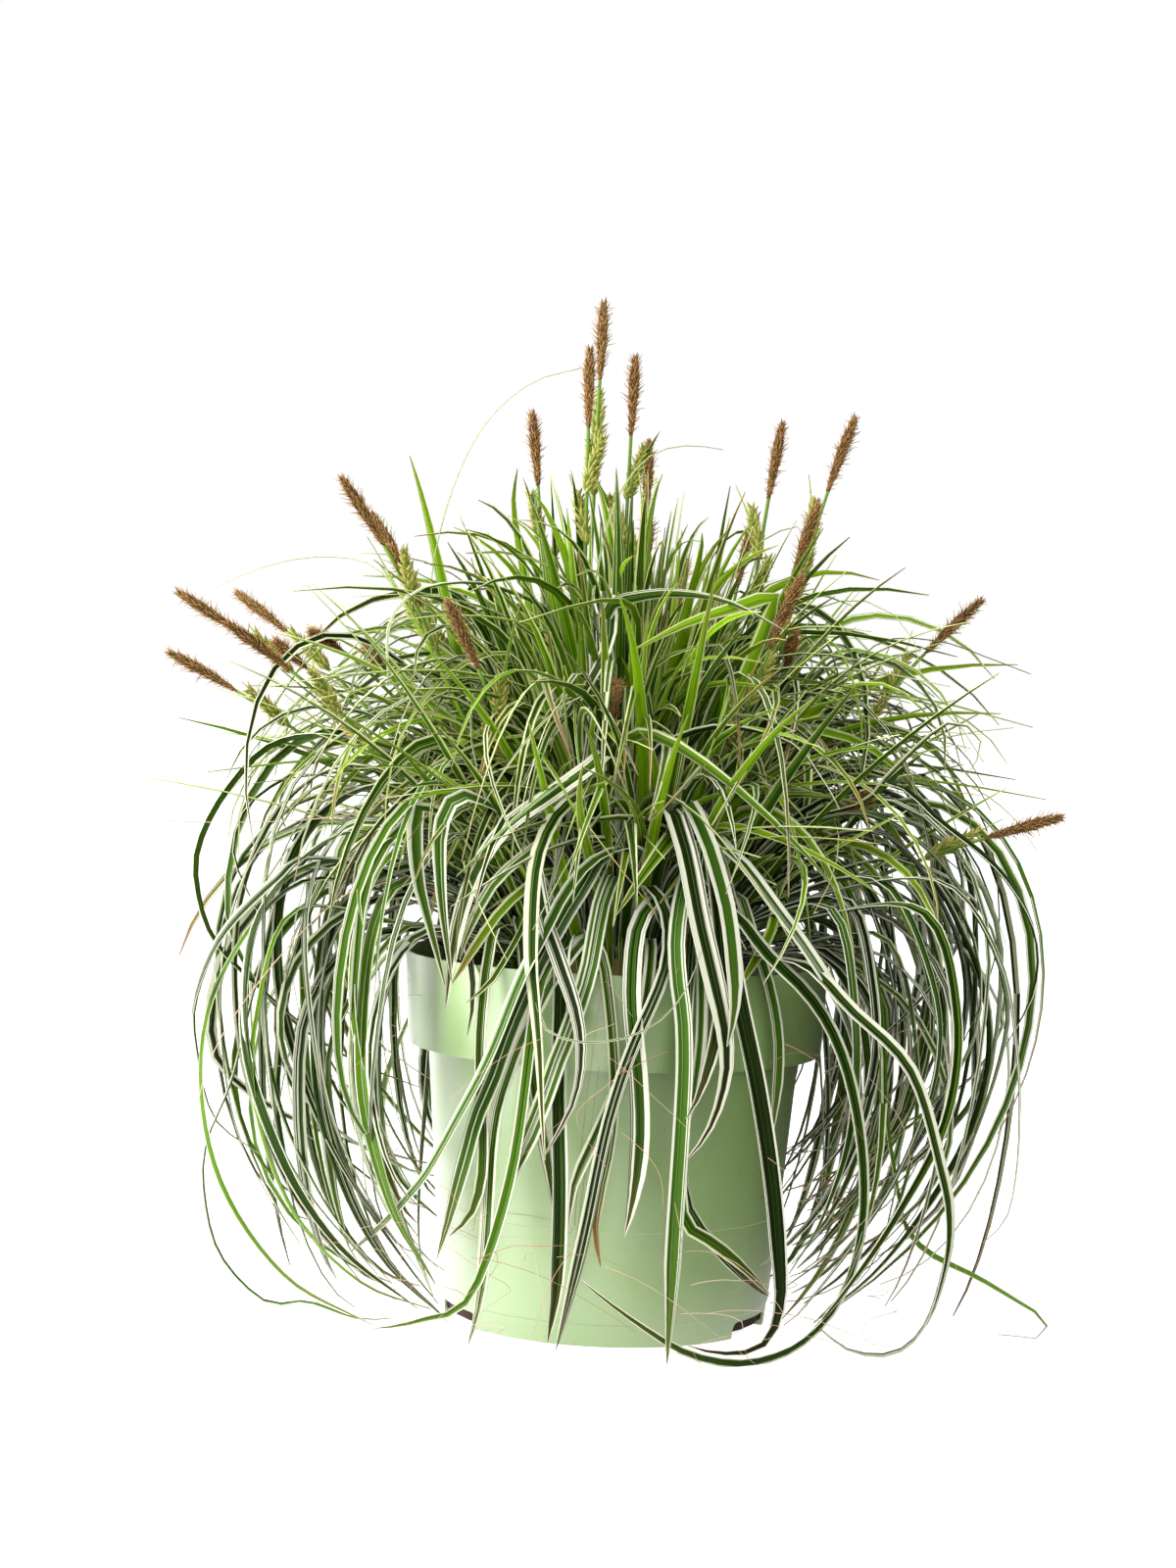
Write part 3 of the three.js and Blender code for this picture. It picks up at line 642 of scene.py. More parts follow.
def set_blade(row):
    """A blade of the frame whose measures are listed in SET_BLADES."""
    place = {"bisector": FRONT + row["tuft"] * TUFT_ANGLE, "turn": 0.0}
    return {**SLOTS[row["slot"]], "curl": SET_CURL, **row, **place}


frame_blade = draw_blade(0, 1)
print("a blade of the front tuft:", frame_blade["apex"], frame_blade["belly"], frame_blade["tip"])


# %% Paths of the blades
def blade_profile(blade, t):
    """Reach and height at the shares t of a blade's length."""
    root = blade["root"]
    if blade["habit"] == "fresh":
        tip = root + blade["tip"][0]
        rise = blade["tip"][1] - CROWN_HEIGHT
        reach = quadratic(root, root + (0.5 - blade["arch"]) * (tip - root), tip, t)
        return reach, CROWN_HEIGHT + quadratic(0, (0.5 + blade["arch"]) * rise, rise, t)
    apex, belly = blade["apex"], blade["belly"]
    hangs = blade["habit"] == "hanging"
    share = blade.get("share", 1.0)
    tip = blade.get("tip", belly)
    rise = 1.05 * math.hypot(apex[0] - root, apex[1] - CROWN_HEIGHT)
    fall = 1.1 * math.hypot(belly[0] - apex[0], apex[1] - belly[1]) * share
    hang = 1.03 * math.hypot(belly[0] - tip[0], belly[1] - tip[1]) if hangs else 0.0
    run = t * (rise + fall + hang)
    q = np.clip(run / rise, 0, 1)
    up_reach = cubic(root, mix(root, apex[0], 0.22), mix(root, apex[0], 0.55), apex[0], q)
    up_height = cubic(CROWN_HEIGHT, mix(CROWN_HEIGHT, apex[1], 0.5), apex[1], apex[1], q)
    q = np.clip((run - rise) / fall, 0, 1) * share * math.pi / 2
    over_reach = mix(apex[0], belly[0], np.sin(q))
    over_height = mix(belly[1], apex[1], np.cos(q))
    q = np.clip((run - rise - fall) / max(hang, 1e-6), 0, 1)
    curl = blade.get("curl", SET_CURL) * math.pi / 2
    down_reach = mix(belly[0], tip[0], (1 - np.cos(curl * q)) / (1 - math.cos(curl)))
    down_height = mix(belly[1], tip[1], np.sin(curl * q) / math.sin(curl))
    rising, falling = run <= rise, (run <= rise + fall) | (not hangs)
    reach = np.where(rising, up_reach, np.where(falling, over_reach, down_reach))
    return reach, np.where(rising, up_height, np.where(falling, over_height, down_height))


def blade_line(blade):
    t = np.linspace(0, 1, ROWS[blade["habit"]] + 1)
    reach, height = blade_profile(blade, t)
    gather = mix(ROOT_OFFSET, 1, np.minimum(1, t / GATHERED))
    azimuth = blade["bisector"] + blade["offset"] * gather + blade["drift"] * t * t
    azimuth = azimuth + blade.get("sway", 0.0) * np.sin(math.pi * t)
    return on_plant(reach, azimuth, np.maximum(height, LOWEST))


print("and its last point:", blade_line(frame_blade)[-1].round(1))

# %% [markdown]
# ## The blades that fill a tuft
# The frame has twelve blades in a tuft, and a plant of this size has several times as many. The
# extra ones follow the same habits but wander more: they sway, cross their neighbours and turn on
# their own axis, which is what makes the mass look grown. The first few of each tuft are thin as
# hairs. At the sides and the back old blades swing out and curl in again under themselves. In front
# hardly any is drawn to hang, and one that comes below the rim there is left out, so that the fan of
# fresh blades and the pot stay in sight. Below the rim a blade is kept a few millimetres off the
# pot's wall, as it hangs against it and not through it.

# %% Clear of the pot
POT_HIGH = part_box("pot")[1] / MM
RIM_HEIGHT = POT_HIGH.z
RIM_RADIUS = POT_HIGH.x
BODY_TOP_RADIUS = 83.3
BASE_RADIUS = 73.0
OFF_THE_WALL = 4.0
COLLAR_SLOPE = 36.0
AT_RIM = 14.0
EASE = 0.3


def wall_radius(height):
    """The pot's radius at a height. The step under the collar is drawn out to a slope."""
    body = mix(BASE_RADIUS, BODY_TOP_RADIUS, height / COLLAR_FOOT)
    under_collar = np.clip((height - COLLAR_FOOT) / COLLAR_SLOPE + 1, 0, 1)
    return mix(body, RIM_RADIUS, under_collar ** 2 * (3 - 2 * under_collar))


def spread_out(moves, run):
    """Moves of single points, eased off along the line on both sides of each."""
    eased = (moves[None, :] - EASE * np.abs(run[:, None] - run[None, :])).max(axis=1).clip(0)
    padded = np.concatenate([eased[:1], eased, eased[-1:]])
    return (padded[:-2] + 2 * padded[1:-1] + padded[2:]) / 4


def clear_of_pot(line, margin=OFF_THE_WALL):
    """The line led over the rim, and from there on held at a margin off the pot's wall."""
    run = np.concatenate([[0], np.cumsum(np.linalg.norm(np.diff(line, axis=0), axis=1))])
    reach = np.maximum(np.hypot(line[:, 0], line[:, 1]), 1e-6)
    inside = np.maximum.accumulate(reach) < RIM_RADIUS + margin
    low = np.maximum(RIM_HEIGHT + margin - line[:, 2], 0)
    at_rim = inside & (reach > RIM_RADIUS - AT_RIM)
    out = line.copy()
    out[:, 2] += spread_out(np.where(at_rim, low, 0), run) * np.minimum(1, run / AT_RIM)
    above = np.maximum(out[:, 2] - RIM_HEIGHT, 0)
    least = wall_radius(out[:, 2]) + margin - 2 * above
    push = spread_out(np.where(inside, 0, np.maximum(least - reach, 0)), run)
    out[:, :2] *= (1 + push * np.minimum(1, run / AT_RIM) / reach)[:, None]
    return out


print("kept off the wall:", OFF_THE_WALL, "mm, under the collar at", round(wall_radius(COLLAR_FOOT), 1))

# %% How far a tuft reaches
FURTHEST = {"front": 166.0, "right": 188.0, "back": 184.0, "left": 206.0}


def towards(tuft, azimuth):
    """How far a tuft faces a direction: 1 when it does, 0 at right angles to it and beyond."""
    return max(0.0, math.cos(math.radians(FRONT + tuft * TUFT_ANGLE - azimuth)))


def furthest(tuft):
    """How far out the blades of a tuft may reach: the plant is wider than it is deep."""
    sides = {"front": FRONT, "right": 0.0, "back": 90.0, "left": 180.0}
    return sum(FURTHEST[side] * towards(tuft, azimuth) ** 2 for side, azimuth in sides.items())


print("furthest in front:", furthest(0), "mm")


# %% Habits of the extra blades
def fill_hanging(draw, front, most):
    belly = draw.between(114, mix(most, 128, front))
    belly_height = draw.between(90, 196)
    return {
        "habit": "hanging",
        "root": draw.between(26, 48),
        "apex": (
            mix(45, belly, draw.between(0.4, 0.66)),
            belly_height + draw.between(30, mix(95, 60, front)),
        ),
        "belly": (belly, belly_height),
        "tip": (
            max(84, belly - draw.between(15, 110)),
            max(LOWEST, belly_height * draw.between(0.02, 0.62)),
        ),
        "curl": draw.between(0.5, 1.0),
        "width": draw.between(3.4, 8.5),
        "sway": draw.around(24),
        "drift": draw.around(56),
    }


def fill_arching(draw, front, most):
    belly = draw.between(90, mix(most, 140, front))
    apex_height = draw.between(mix(225, 210, front), mix(330, 285, front)) - 0.12 * (belly - 100)
    return {
        "habit": "arching",
        "root": draw.between(20, 44),
        "apex": (mix(35, belly, draw.between(0.4, 0.7)), apex_height),
        "belly": (belly, apex_height - draw.between(35, 110)),
        "share": draw.between(0.5, 1),
        "width": draw.between(3.0, 6.4),
        "sway": draw.around(28),
        "drift": draw.around(60),
    }


def fill_fresh(draw, front, most):
    share = draw.next() ** mix(0.75, 1.7, front)
    lean = math.radians(mix(2, 62, share))
    length = draw.between(130, 232) - 24 * share
    root = draw.between(6, 42) * (0.4 + 0.6 * share)
    return {
        "habit": "fresh",
        "root": root,
        "tip": (min(length * math.sin(lean), most - root), CROWN_HEIGHT + length * math.cos(lean)),
        "arch": mix(0.08, 0.35 + 0.8 * share, draw.next()),
        "width": draw.between(3.0, 5.8) + 0.6 * front,
        "sway": draw.around(10),
        "drift": draw.around(26),
    }


print("a fresh one in front leaves the crown at", round(fill_fresh(Draw(1), 1.0, furthest(0))["root"], 1))

# %% Extra blades
FILL_BLADES = 76
HAIRS = 8
HANGING_SHARE = 0.22
FEWER_AT_LEFT = 0.10
ARCHING_SHARES = (0.34, 0.24)


def draw_fill_blade(tuft, number):
    draw = Draw(1000 * (tuft + 1) + number)
    front, left, most = towards(tuft, FRONT), towards(tuft, 180), furthest(tuft)
    blade = {"bisector": FRONT + tuft * TUFT_ANGLE, "offset": draw.between(-0.5, 0.5) * TUFT_ANGLE}
    blade["turn"] = draw.around(120)
    kind = draw.next()
    hanging = mix(HANGING_SHARE - FEWER_AT_LEFT * left, 0.0, front)
    arching = hanging + mix(*ARCHING_SHARES, front)
    if kind < hanging:
        blade.update(fill_hanging(draw, front, most))
    elif kind < arching:
        blade.update(fill_arching(draw, front, most))
    else:
        blade.update(fill_fresh(draw, front, most))
    if number < HAIRS:
        blade["width"] = draw.between(0.9, 1.8)
    blade["off_wall"] = OFF_THE_WALL + draw.between(0, 7)
    blade["extra"] = True
    return blade


print("an extra blade:", draw_fill_blade(0, HAIRS)["habit"], "in the front tuft")

# %% Looks of the blades
AGES = {"hanging": (0.75, 1.0), "arching": (0.1, 0.9), "fresh": (0.0, 0.25)}
MARGINS = {"hanging": (0.2, 0.58), "arching": (0.2, 0.5), "fresh": (0.1, 0.36)}


def draw_look(habit, seed):
    draw = Draw(70000 + seed)
    return {
        "age": draw.between(*AGES[habit]),
        "margin": draw.between(*MARGINS[habit]),
        "tint": draw.next(),
        "dry": 0.9 * draw.next() ** 4,
        "tip_share": draw.between(0.28, 0.6),
    }


def tuft_blades(tuft):
    for slot in range(len(SLOTS)):
        rows = [row for row in SET_BLADES if (row["tuft"], row["slot"]) == (tuft, slot)]
        if (tuft, slot) not in FINER_BELOW:
            yield set_blade(rows[0]) if rows else draw_blade(tuft, slot)
    for number in range(FILL_BLADES):
        yield draw_fill_blade(tuft, number)


print("blades in the front tuft:", len(list(tuft_blades(0))))

# %% [markdown]
# ## The tufts
# At its foot a tuft is a tight bundle of leaf sheaths. One oval stub stands for the bundle's core
# and closes the hole that the tuft fills in the soil. The blades leave from its top and its sides.
# In front, up to 46 degrees to each side, the extra blades keep clear of the pot below its rim.

# %% Tufts
SHEATH = {
    "reach": 36.0, "half_depth": 12.0, "half_width": 6.0, "middle": 13.0,
    "foot": 134.5, "height": 164.0, "dryness": 0.5,
}
KEPT_CLEAR = 46.0


def add_sheath(bm, place, radii, turn):
    """The bundle's core: an oval stub that narrows towards its top."""
    height = SHEATH["height"] - SHEATH["foot"]
    middle = Matrix.Translation((*place, SHEATH["foot"] + height / 2)) @ Matrix.Rotation(turn, 4, "Z")
    shape = middle @ Matrix.Diagonal((*radii, height, 1))
    stub = {"segments": 16, "radius1": 1.0, "radius2": 0.8, "depth": 1.0, "cap_ends": True}
    for vert in bmesh.ops.create_cone(bm, matrix=shape, **stub)["verts"]:
        vert[bm.verts.layers.float["dry"]] = SHEATH["dryness"]


def hangs_before_pot(line):
    """Whether a line comes below the rim in front, where the long blades below hang alone."""
    azimuth = np.degrees(np.arctan2(line[:, 1], line[:, 0]))
    off_front = np.abs((azimuth - FRONT + 180) % 360 - 180)
    return np.any((line[:, 2] < RIM_HEIGHT) & (off_front < KEPT_CLEAR))


def grow(bm, blades, seed):
    for number, blade in enumerate(blades):
        line = clear_of_pot(blade_line(blade), blade.get("off_wall", OFF_THE_WALL))
        if blade.get("extra") and hangs_before_pot(line[len(line) // 3:]):
            continue
        add_blade(bm, line, blade["width"], draw_look(blade["habit"], seed + number), blade["turn"])


for tuft in range(TUFTS):
    bm = new_leaves()
    azimuth = FRONT + tuft * TUFT_ANGLE
    foot = on_plant(SHEATH["reach"], np.array([azimuth]), 0)[0, :2]
    add_sheath(bm, foot, (SHEATH["half_depth"], SHEATH["half_width"]), math.radians(azimuth))
    grow(bm, tuft_blades(tuft), 100 * tuft)
    name = f"leaf_tuft_{tuft + 1:02d}"
    thicken(make_piece("blades_of_" + name, bm, leaf, "leaf", name), LEAF_THICKNESS)
print("tufts:", TUFTS)

# %% Middle tuft
MIDDLE_BLADES = 12
MIDDLE_FILL = 26


def draw_middle_blade(number):
    draw = Draw(5000 + number)
    blade = {"habit": "fresh", "bisector": 360 / MIDDLE_BLADES * number + draw.around(10), "offset": 0}
    blade["drift"] = draw.around(10)
    blade["turn"] = draw.around(50)
    blade["root"] = 3 if number % 2 else 8
    blade["tip"] = (draw.between(2, 20), CROWN_HEIGHT + draw.between(130, 205))
    blade["arch"] = draw.between(0.02, 0.2)
    blade["width"] = draw.between(4, 6)
    return blade


bm = new_leaves()
add_sheath(bm, (0, 0), (SHEATH["middle"], SHEATH["middle"]), 0.0)
grow(bm, [draw_middle_blade(number) for number in range(MIDDLE_BLADES + MIDDLE_FILL)], 9000)
thicken(make_piece("blades_of_middle_tuft", bm, leaf, "leaf", "middle_tuft"), LEAF_THICKNESS)
print("middle tuft:", MIDDLE_BLADES + MIDDLE_FILL, "blades")

# %% [markdown]
# ## The long blades that show best
# Nearly ninety blades give the plant its face: the broad ones that fold over the rim, the arcs at
# both sides, the ones that cross on the pot. Each is set by the points of the camera's picture that
# it passes and its reach from the pot's axis there. The ray through a picture point meets the round
# wall of that reach on the near side, so a blade keeps its place on the plant from every side. Its
# root is in the crown below its first point. Each row gives the width, the age, the share of the
# margins and the turn, and then the points. Those without a reach are in front.

# %% Points seen by the camera
MM_PER_ROW = 8
FEWEST_ROWS, MOST_ROWS = 16, 48


def seen(across, down, reach):
    """The point at a reach from the pot's axis, in mm, that shows at a point of the picture."""
    pixel = Vector((across - PICTURE[0] / 2, PICTURE[1] / 2 - down, -FOCAL_PIXELS))
    ray = (camera_turn.to_3x3() @ pixel).normalized()
    start = CAMERA_PLACE / MM
    flat = ray.x ** 2 + ray.y ** 2
    nearest = -(start.x * ray.x + start.y * ray.y) / flat
    miss = start.x ** 2 + start.y ** 2 - nearest ** 2 * flat
    half_chord = math.sqrt(max(0.0, reach ** 2 - miss) / flat)
    return np.array(start + ray * (nearest - half_chord))


def long_line(points, root=36.0):
    """From the crown up to the first point, and on through the others."""
    way = [seen(*point) for point in points]
    reach, azimuth = math.hypot(*way[0][:2]), math.degrees(math.atan2(way[0][1], way[0][0]))
    root = min(root, 0.6 * reach)
    q = np.array([0.0, 0.3, 0.65])
    up_reach = cubic(root, mix(root, reach, 0.22), mix(root, reach, 0.55), reach, q)
    up_height = cubic(CROWN_HEIGHT, mix(CROWN_HEIGHT, way[0][2], 0.5), way[0][2], way[0][2], q)
    rise = on_plant(up_reach, azimuth + 0 * q, up_height)
    for place in way:
        place[2] = max(place[2], LOWEST)
    coarse = np.array([*rise, *way])
    length = np.linalg.norm(np.diff(coarse, axis=0), axis=1).sum()
    return smooth_line(coarse, int(np.clip(length / MM_PER_ROW, FEWEST_ROWS, MOST_ROWS)))


print("the picture's middle on the pot:", seen(PICTURE[0] / 2, PICTURE[1] / 2, RIM_RADIUS).round(1))

# %% Table of the long blades
FRONT_REACH = 104.0
LONG_BLADES = {
    "folded_left": (6.8, 0.95, 0.42, -80, [
        (432, 824, 120), (424, 840, 124), (424, 872, 126), (428, 905, 125), (437, 940, 123),
        (447, 978, 120), (455, 1010, 117),
    ]),
    "folded_middle": (6.8, 0.95, 0.44, -80, [
        (476, 812, 118), (458, 822, 122), (449, 850, 124), (449, 890, 124), (452, 930, 122),
        (457, 970, 119), (461, 1002, 117),
    ]),
    "white_sweep": (7.4, 0.95, 0.5, -40, [
        (620, 770), (599, 785), (552, 818), (522, 838), (500, 864), (484, 893), (474, 920), (466, 950),
        (460, 985), (455, 1030),
    ]),
    "light_heart": (8.8, 0.7, 0.36, 0, [
        (602, 810), (578, 822), (562, 842), (550, 872), (545, 905), (543, 945), (543, 985), (547, 1030),
        (551, 1080), (553, 1130), (556, 1184),
    ]),
    "silver_cross": (6.6, 1.0, 0.5, 10, [
        (540, 862), (546, 888), (551, 915), (556, 940), (564, 962), (572, 985), (581, 1010),
        (589, 1038), (593, 1070), (591, 1100), (584, 1128), (570, 1155), (554, 1182),
    ]),
    "dark_arch": (9.5, 0.95, 0.2, 0, [
        (648, 866), (622, 870), (600, 884), (584, 903), (572, 922), (562, 942), (550, 965), (539, 985),
        (530, 1005), (519, 1032), (506, 1065), (490, 1100), (468, 1140), (446, 1180), (428, 1208),
        (392, 1248), (356, 1279),
    ]),
    "long_left": (8, 0.95, 0.2, 0, [
        (626, 892), (614, 922), (607, 958), (601, 990), (592, 1020), (580, 1055), (568, 1085),
        (556, 1120), (540, 1160), (522, 1200), (507, 1233),
    ]),
    "silver_arch": (8.6, 1.0, 0.46, 0, [
        (678, 914), (662, 925), (650, 950), (646, 985), (645, 1020), (648, 1060), (652, 1100),
        (654, 1150), (651, 1195), (644, 1235), (637, 1262),
    ]),
    "dark_cross": (5.8, 0.95, 0.28, 0, [
        (660, 904), (675, 920), (682, 950), (680, 982), (670, 1013), (655, 1046), (641, 1080),
        (630, 1112), (619, 1150), (609, 1195), (600, 1240), (590, 1285), (578, 1335), (567, 1378),
    ]),
    "white_fall": (9.6, 1.0, 0.44, 0, [
        (684, 826), (692, 842), (701, 872), (708, 908), (714, 940), (721, 970), (728, 1000),
        (735, 1030), (740, 1060), (741, 1092), (732, 1132), (718, 1162), (700, 1184),
    ]),
    "white_fall_right": (8, 1.0, 0.4, 0, [
        (700, 818), (714, 842), (725, 868), (733, 895), (740, 920), (745, 950), (748, 980), (750, 1010),
        (748, 1040), (742, 1068),
    ]),
    "right_slope": (8.2, 1.0, 0.42, 0, [
        (722, 850, 80), (745, 870, 92), (762, 886, 100), (790, 924, 112), (818, 962, 120),
        (848, 1008, 128), (862, 1036, 130), (872, 1068, 131), (877, 1105, 130), (880, 1160, 127),
    ]),
    "right_hoop": (8.6, 0.95, 0.3, 0, [
        (745, 930, 96), (782, 974, 112), (820, 1011, 124), (844, 1045, 132), (862, 1088, 138),
        (874, 1140, 140), (880, 1195, 139), (879, 1245, 137), (869, 1294, 130), (848, 1338, 122),
        (818, 1369, 116), (788, 1384, 114), (755, 1391, 113), (720, 1386, 110), (690, 1375, 107),
        (655, 1353, 104), (620, 1328, 102), (593, 1306, 101),
    ]),
    "outer_hoop": (9.5, 0.95, 0.34, 0, [
        (820, 985, 120), (868, 1031, 150), (929, 1094, 172), (960, 1196, 180), (968, 1243, 180),
        (964, 1291, 174), (944, 1352, 160), (912, 1380, 145), (868, 1378, 124), (832, 1352, 112),
    ]),
    "right_drop": (8.6, 1.0, 0.22, 0, [
        (742, 962, 98), (750, 1000, 107), (756, 1030, 111), (763, 1062, 114), (771, 1100, 117),
        (778, 1140, 118), (784, 1180, 120), (790, 1230, 121), (794, 1280, 121), (796, 1320, 119),
        (791, 1350, 115), (781, 1369, 112), (762, 1379, 108), (730, 1380, 104), (702, 1373, 102),
    ]),
    "plumb": (7.4, 1.0, 0.32, 0, [
        (704, 880), (695, 918), (690, 960), (692, 1000), (697, 1040), (698, 1090), (695, 1150),
        (691, 1210), (687, 1270), (684, 1330), (680, 1408),
    ]),
    "blue_fall": (5.6, 1.0, 0.36, 0, [
        (528, 985), (530, 1020), (532, 1060), (536, 1110), (541, 1150), (548, 1182), (556, 1212),
        (562, 1240), (567, 1268),
    ]),
    "dark_cross_under": (5, 0.95, 0.36, 0, [
        (664, 960), (662, 1000), (655, 1045), (644, 1080), (630, 1110), (612, 1150), (598, 1180),
        (586, 1208), (580, 1250),
    ]),
    "brown_tip": (5, 0.7, 0.24, 0, [
        (600, 975), (612, 1020), (618, 1055), (623, 1090), (626, 1130), (622, 1175), (612, 1215),
        (607, 1255), (613, 1292),
    ]),
    "between_falls": (6, 0.95, 0.3, 0, [
        (716, 850), (726, 880), (731, 920), (735, 960), (737, 1000), (733, 1045), (724, 1085),
        (712, 1120), (700, 1142),
    ]),
    "silver_plumb": (5.2, 1.0, 0.46, 0, [
        (712, 918), (714, 950), (716, 1000), (715, 1060), (709, 1110), (703, 1148),
    ]),
    "right_edge_fall": (5.4, 0.95, 0.24, 0, [
        (752, 912), (765, 945), (775, 975), (784, 1003), (790, 1030), (794, 1060), (794, 1095),
        (790, 1135), (786, 1166),
    ]),
    "folded_spear": (4.6, 0.2, 0.3, 0, [(795, 905), (792, 930), (784, 957), (768, 985), (750, 1014)]),
    "left_green": (5.2, 0.8, 0.24, 0, [
        (508, 945), (498, 980), (493, 1020), (490, 1060), (490, 1110), (493, 1160), (491, 1205),
        (480, 1240), (459, 1261),
    ]),
    "left_edge_fall": (4.4, 0.85, 0.24, 0, [
        (455, 990), (463, 1012), (471, 1042), (477, 1072), (479, 1100), (474, 1128),
    ]),
    "left_thin_slant": (3.2, 0.3, 0.26, 0, [
        (545, 925), (532, 950), (518, 975), (500, 1003), (476, 1023),
    ]),
    "left_slant": (4.8, 0.85, 0.3, -50, [
        (560, 858), (542, 868), (520, 885), (501, 905), (487, 930), (475, 957), (469, 980),
    ]),
    "left_light_slant": (4.4, 0.4, 0.36, -50, [
        (560, 888), (538, 905), (515, 925), (497, 948), (482, 970), (470, 990), (461, 1004),
    ]),
    "left_hoop": (8, 0.9, 0.12, 0, [
        (349, 753, 128), (282, 759, 155), (234, 805, 172), (205, 859, 182), (202, 904, 184),
        (221, 961, 176), (278, 1019, 150), (320, 1054, 132),
    ]),
    "left_hoop_inner": (5, 0.9, 0.2, 20, [
        (340, 775, 120), (297, 791, 140), (257, 818, 156), (241, 850, 162), (241, 882, 160),
        (268, 941, 150),
    ]),
    "left_hoop_low": (7.5, 0.9, 0.14, 0, [
        (320, 875, 140), (282, 898, 158), (227, 955, 178), (200, 1019, 186), (200, 1067, 186),
        (218, 1140, 176), (266, 1178, 150),
    ]),
    "left_broad": (9, 1.0, 0.5, -70, [
        (419, 884, 100), (361, 914, 128), (333, 971, 144), (326, 1067, 150), (339, 1202, 142),
        (356, 1273, 128),
    ]),
    "dark_slant": (7.4, 1.0, 0.22, 0, [
        (612, 878), (596, 905), (580, 930), (566, 955), (553, 978), (543, 1000), (532, 1026),
        (521, 1052), (511, 1080), (503, 1103), (487, 1140), (476, 1180), (466, 1215), (458, 1245),
        (446, 1284),
    ]),
    "pale_slant": (7, 0.88, 0.42, 0, [
        (600, 955), (588, 968), (575, 985), (562, 1003), (552, 1022), (541, 1042), (530, 1065),
        (519, 1095), (508, 1130), (502, 1170), (499, 1220), (496, 1270), (492, 1315), (485, 1350),
        (477, 1386),
    ]),
    "upright_fall": (6.6, 0.95, 0.26, 0, [
        (580, 965), (574, 990), (572, 1020), (571, 1060), (570, 1110), (571, 1160), (572, 1210),
        (571, 1270), (568, 1320), (559, 1370),
    ]),
    "right_arc": (7, 0.9, 0.2, 0, [
        (905, 800, 150), (960, 840, 175), (1020, 890, 195), (1055, 950, 203), (1055, 1010, 200),
        (1025, 1070, 190),
    ]),
    "left_low_arc": (5, 0.95, 0.2, 0, [
        (300, 890, 150), (262, 1000, 168), (237, 1100, 176), (211, 1164, 182), (208, 1215, 182),
        (224, 1279, 176), (270, 1327, 160), (313, 1347, 145), (364, 1351, 125), (402, 1345, 110),
    ]),
    "left_foot": (6, 0.6, 0.15, 0, [
        (300, 930, 150), (262, 1040, 166), (262, 1130, 166), (300, 1236, 150), (367, 1307, 122),
        (440, 1336, 96),
    ]),
    "left_inner": (8, 0.8, 0.12, 0, [
        (410, 950, 104), (349, 1039, 128), (336, 1106, 132), (358, 1200, 124), (412, 1285, 108),
        (447, 1330, 96),
    ]),
    "left_inner_short": (8, 0.8, 0.15, 0, [
        (408, 960, 104), (389, 1039, 110), (389, 1129, 110), (403, 1218, 106), (443, 1325, 96),
    ]),
    "right_curl": (5, 0.5, 0.3, 0, [
        (880, 820, 140), (903, 796, 150), (951, 749, 168), (979, 737, 178), (1002, 761, 186),
        (986, 793, 184),
    ]),
    "bent_spear": (7.5, 0.35, 0.32, 0, [
        (712, 812, 58), (750, 715, 75), (788, 622, 90), (784, 610, 90), (747, 621, 88), (701, 636, 82),
        (645, 664, 74),
    ]),
    "top_arc": (6.5, 0.85, 0.4, 0, [
        (560, 640, 48), (551, 618, 56), (508, 600, 76), (472, 594, 92), (426, 603, 112),
        (398, 636, 124), (396, 700, 128),
    ]),
    "back_arc": (6, 0.9, 0.35, 0, [
        (618, 625, 50), (653, 609, 60), (696, 606, 72), (745, 615, 90), (800, 643, 110),
    ]),
    "spear_tip": (8, 0.35, 0.3, 0, [(690, 850, 78), (682, 859, 84), (655, 895, 94), (629, 934, 98)]),
    "cross_spear": (8, 0.4, 0.3, 0, [
        (700, 856, 60), (680, 850, 70), (643, 836, 84), (600, 838, 92), (545, 846, 100),
    ]),
    "right_spear": (9, 0.2, 0.25, 0, [
        (790, 915, 70), (850, 863, 95), (900, 806, 120), (940, 770, 140),
    ]),
    "small_spear": (6, 0.2, 0.3, 0, [(700, 830, 70), (730, 812, 84), (781, 803, 100)]),
    "left_silver": (7, 1.0, 0.5, -70, [
        (372, 838, 118), (334, 866, 136), (316, 914, 148), (312, 968, 150), (318, 1040, 146),
        (330, 1130, 140),
    ]),
    "narrow_sweep": (6, 0.9, 0.45, 40, [
        (618, 602, 40), (624, 640, 56), (606, 690, 66), (551, 768, 84), (527, 814, 94),
    ]),
    "vertical_dark": (6.5, 0.85, 0.36, 0, [
        (606, 640, 42), (608, 701, 54), (600, 774, 70), (576, 854, 88), (557, 921, 100),
    ]),
    "big_right_arc": (5.5, 0.85, 0.3, 20, [
        (661, 780, 62), (686, 756, 72), (741, 742, 90), (808, 759, 112), (839, 795, 122),
        (857, 826, 128),
    ]),
    "left_spire": (6, 0.4, 0.2, 110, [(474, 690, 50), (446, 570, 70), (430, 505, 82), (418, 465, 88)]),
    "spire": (5.5, 0.3, 0.2, 110, [(562, 720, 26), (533, 575, 40), (524, 515, 46), (528, 478, 46)]),
    "pot_leaf": (5.6, 0.8, 0.2, 0, [
        (706, 960, 102), (700, 1040, 102), (697, 1140, 102), (694, 1215, 102), (701, 1250, 102),
        (726, 1267, 102), (754, 1289, 102), (786, 1321, 102),
    ]),
    "pot_leaf_under": (5, 0.85, 0.2, 0, [
        (700, 1000, 101), (696, 1100, 101), (692, 1200, 101), (697, 1252, 101), (712, 1275, 101),
        (740, 1296, 101), (785, 1323, 101),
    ]),
    "hair_hoop": (0.8, 0.7, 0.3, 0, [
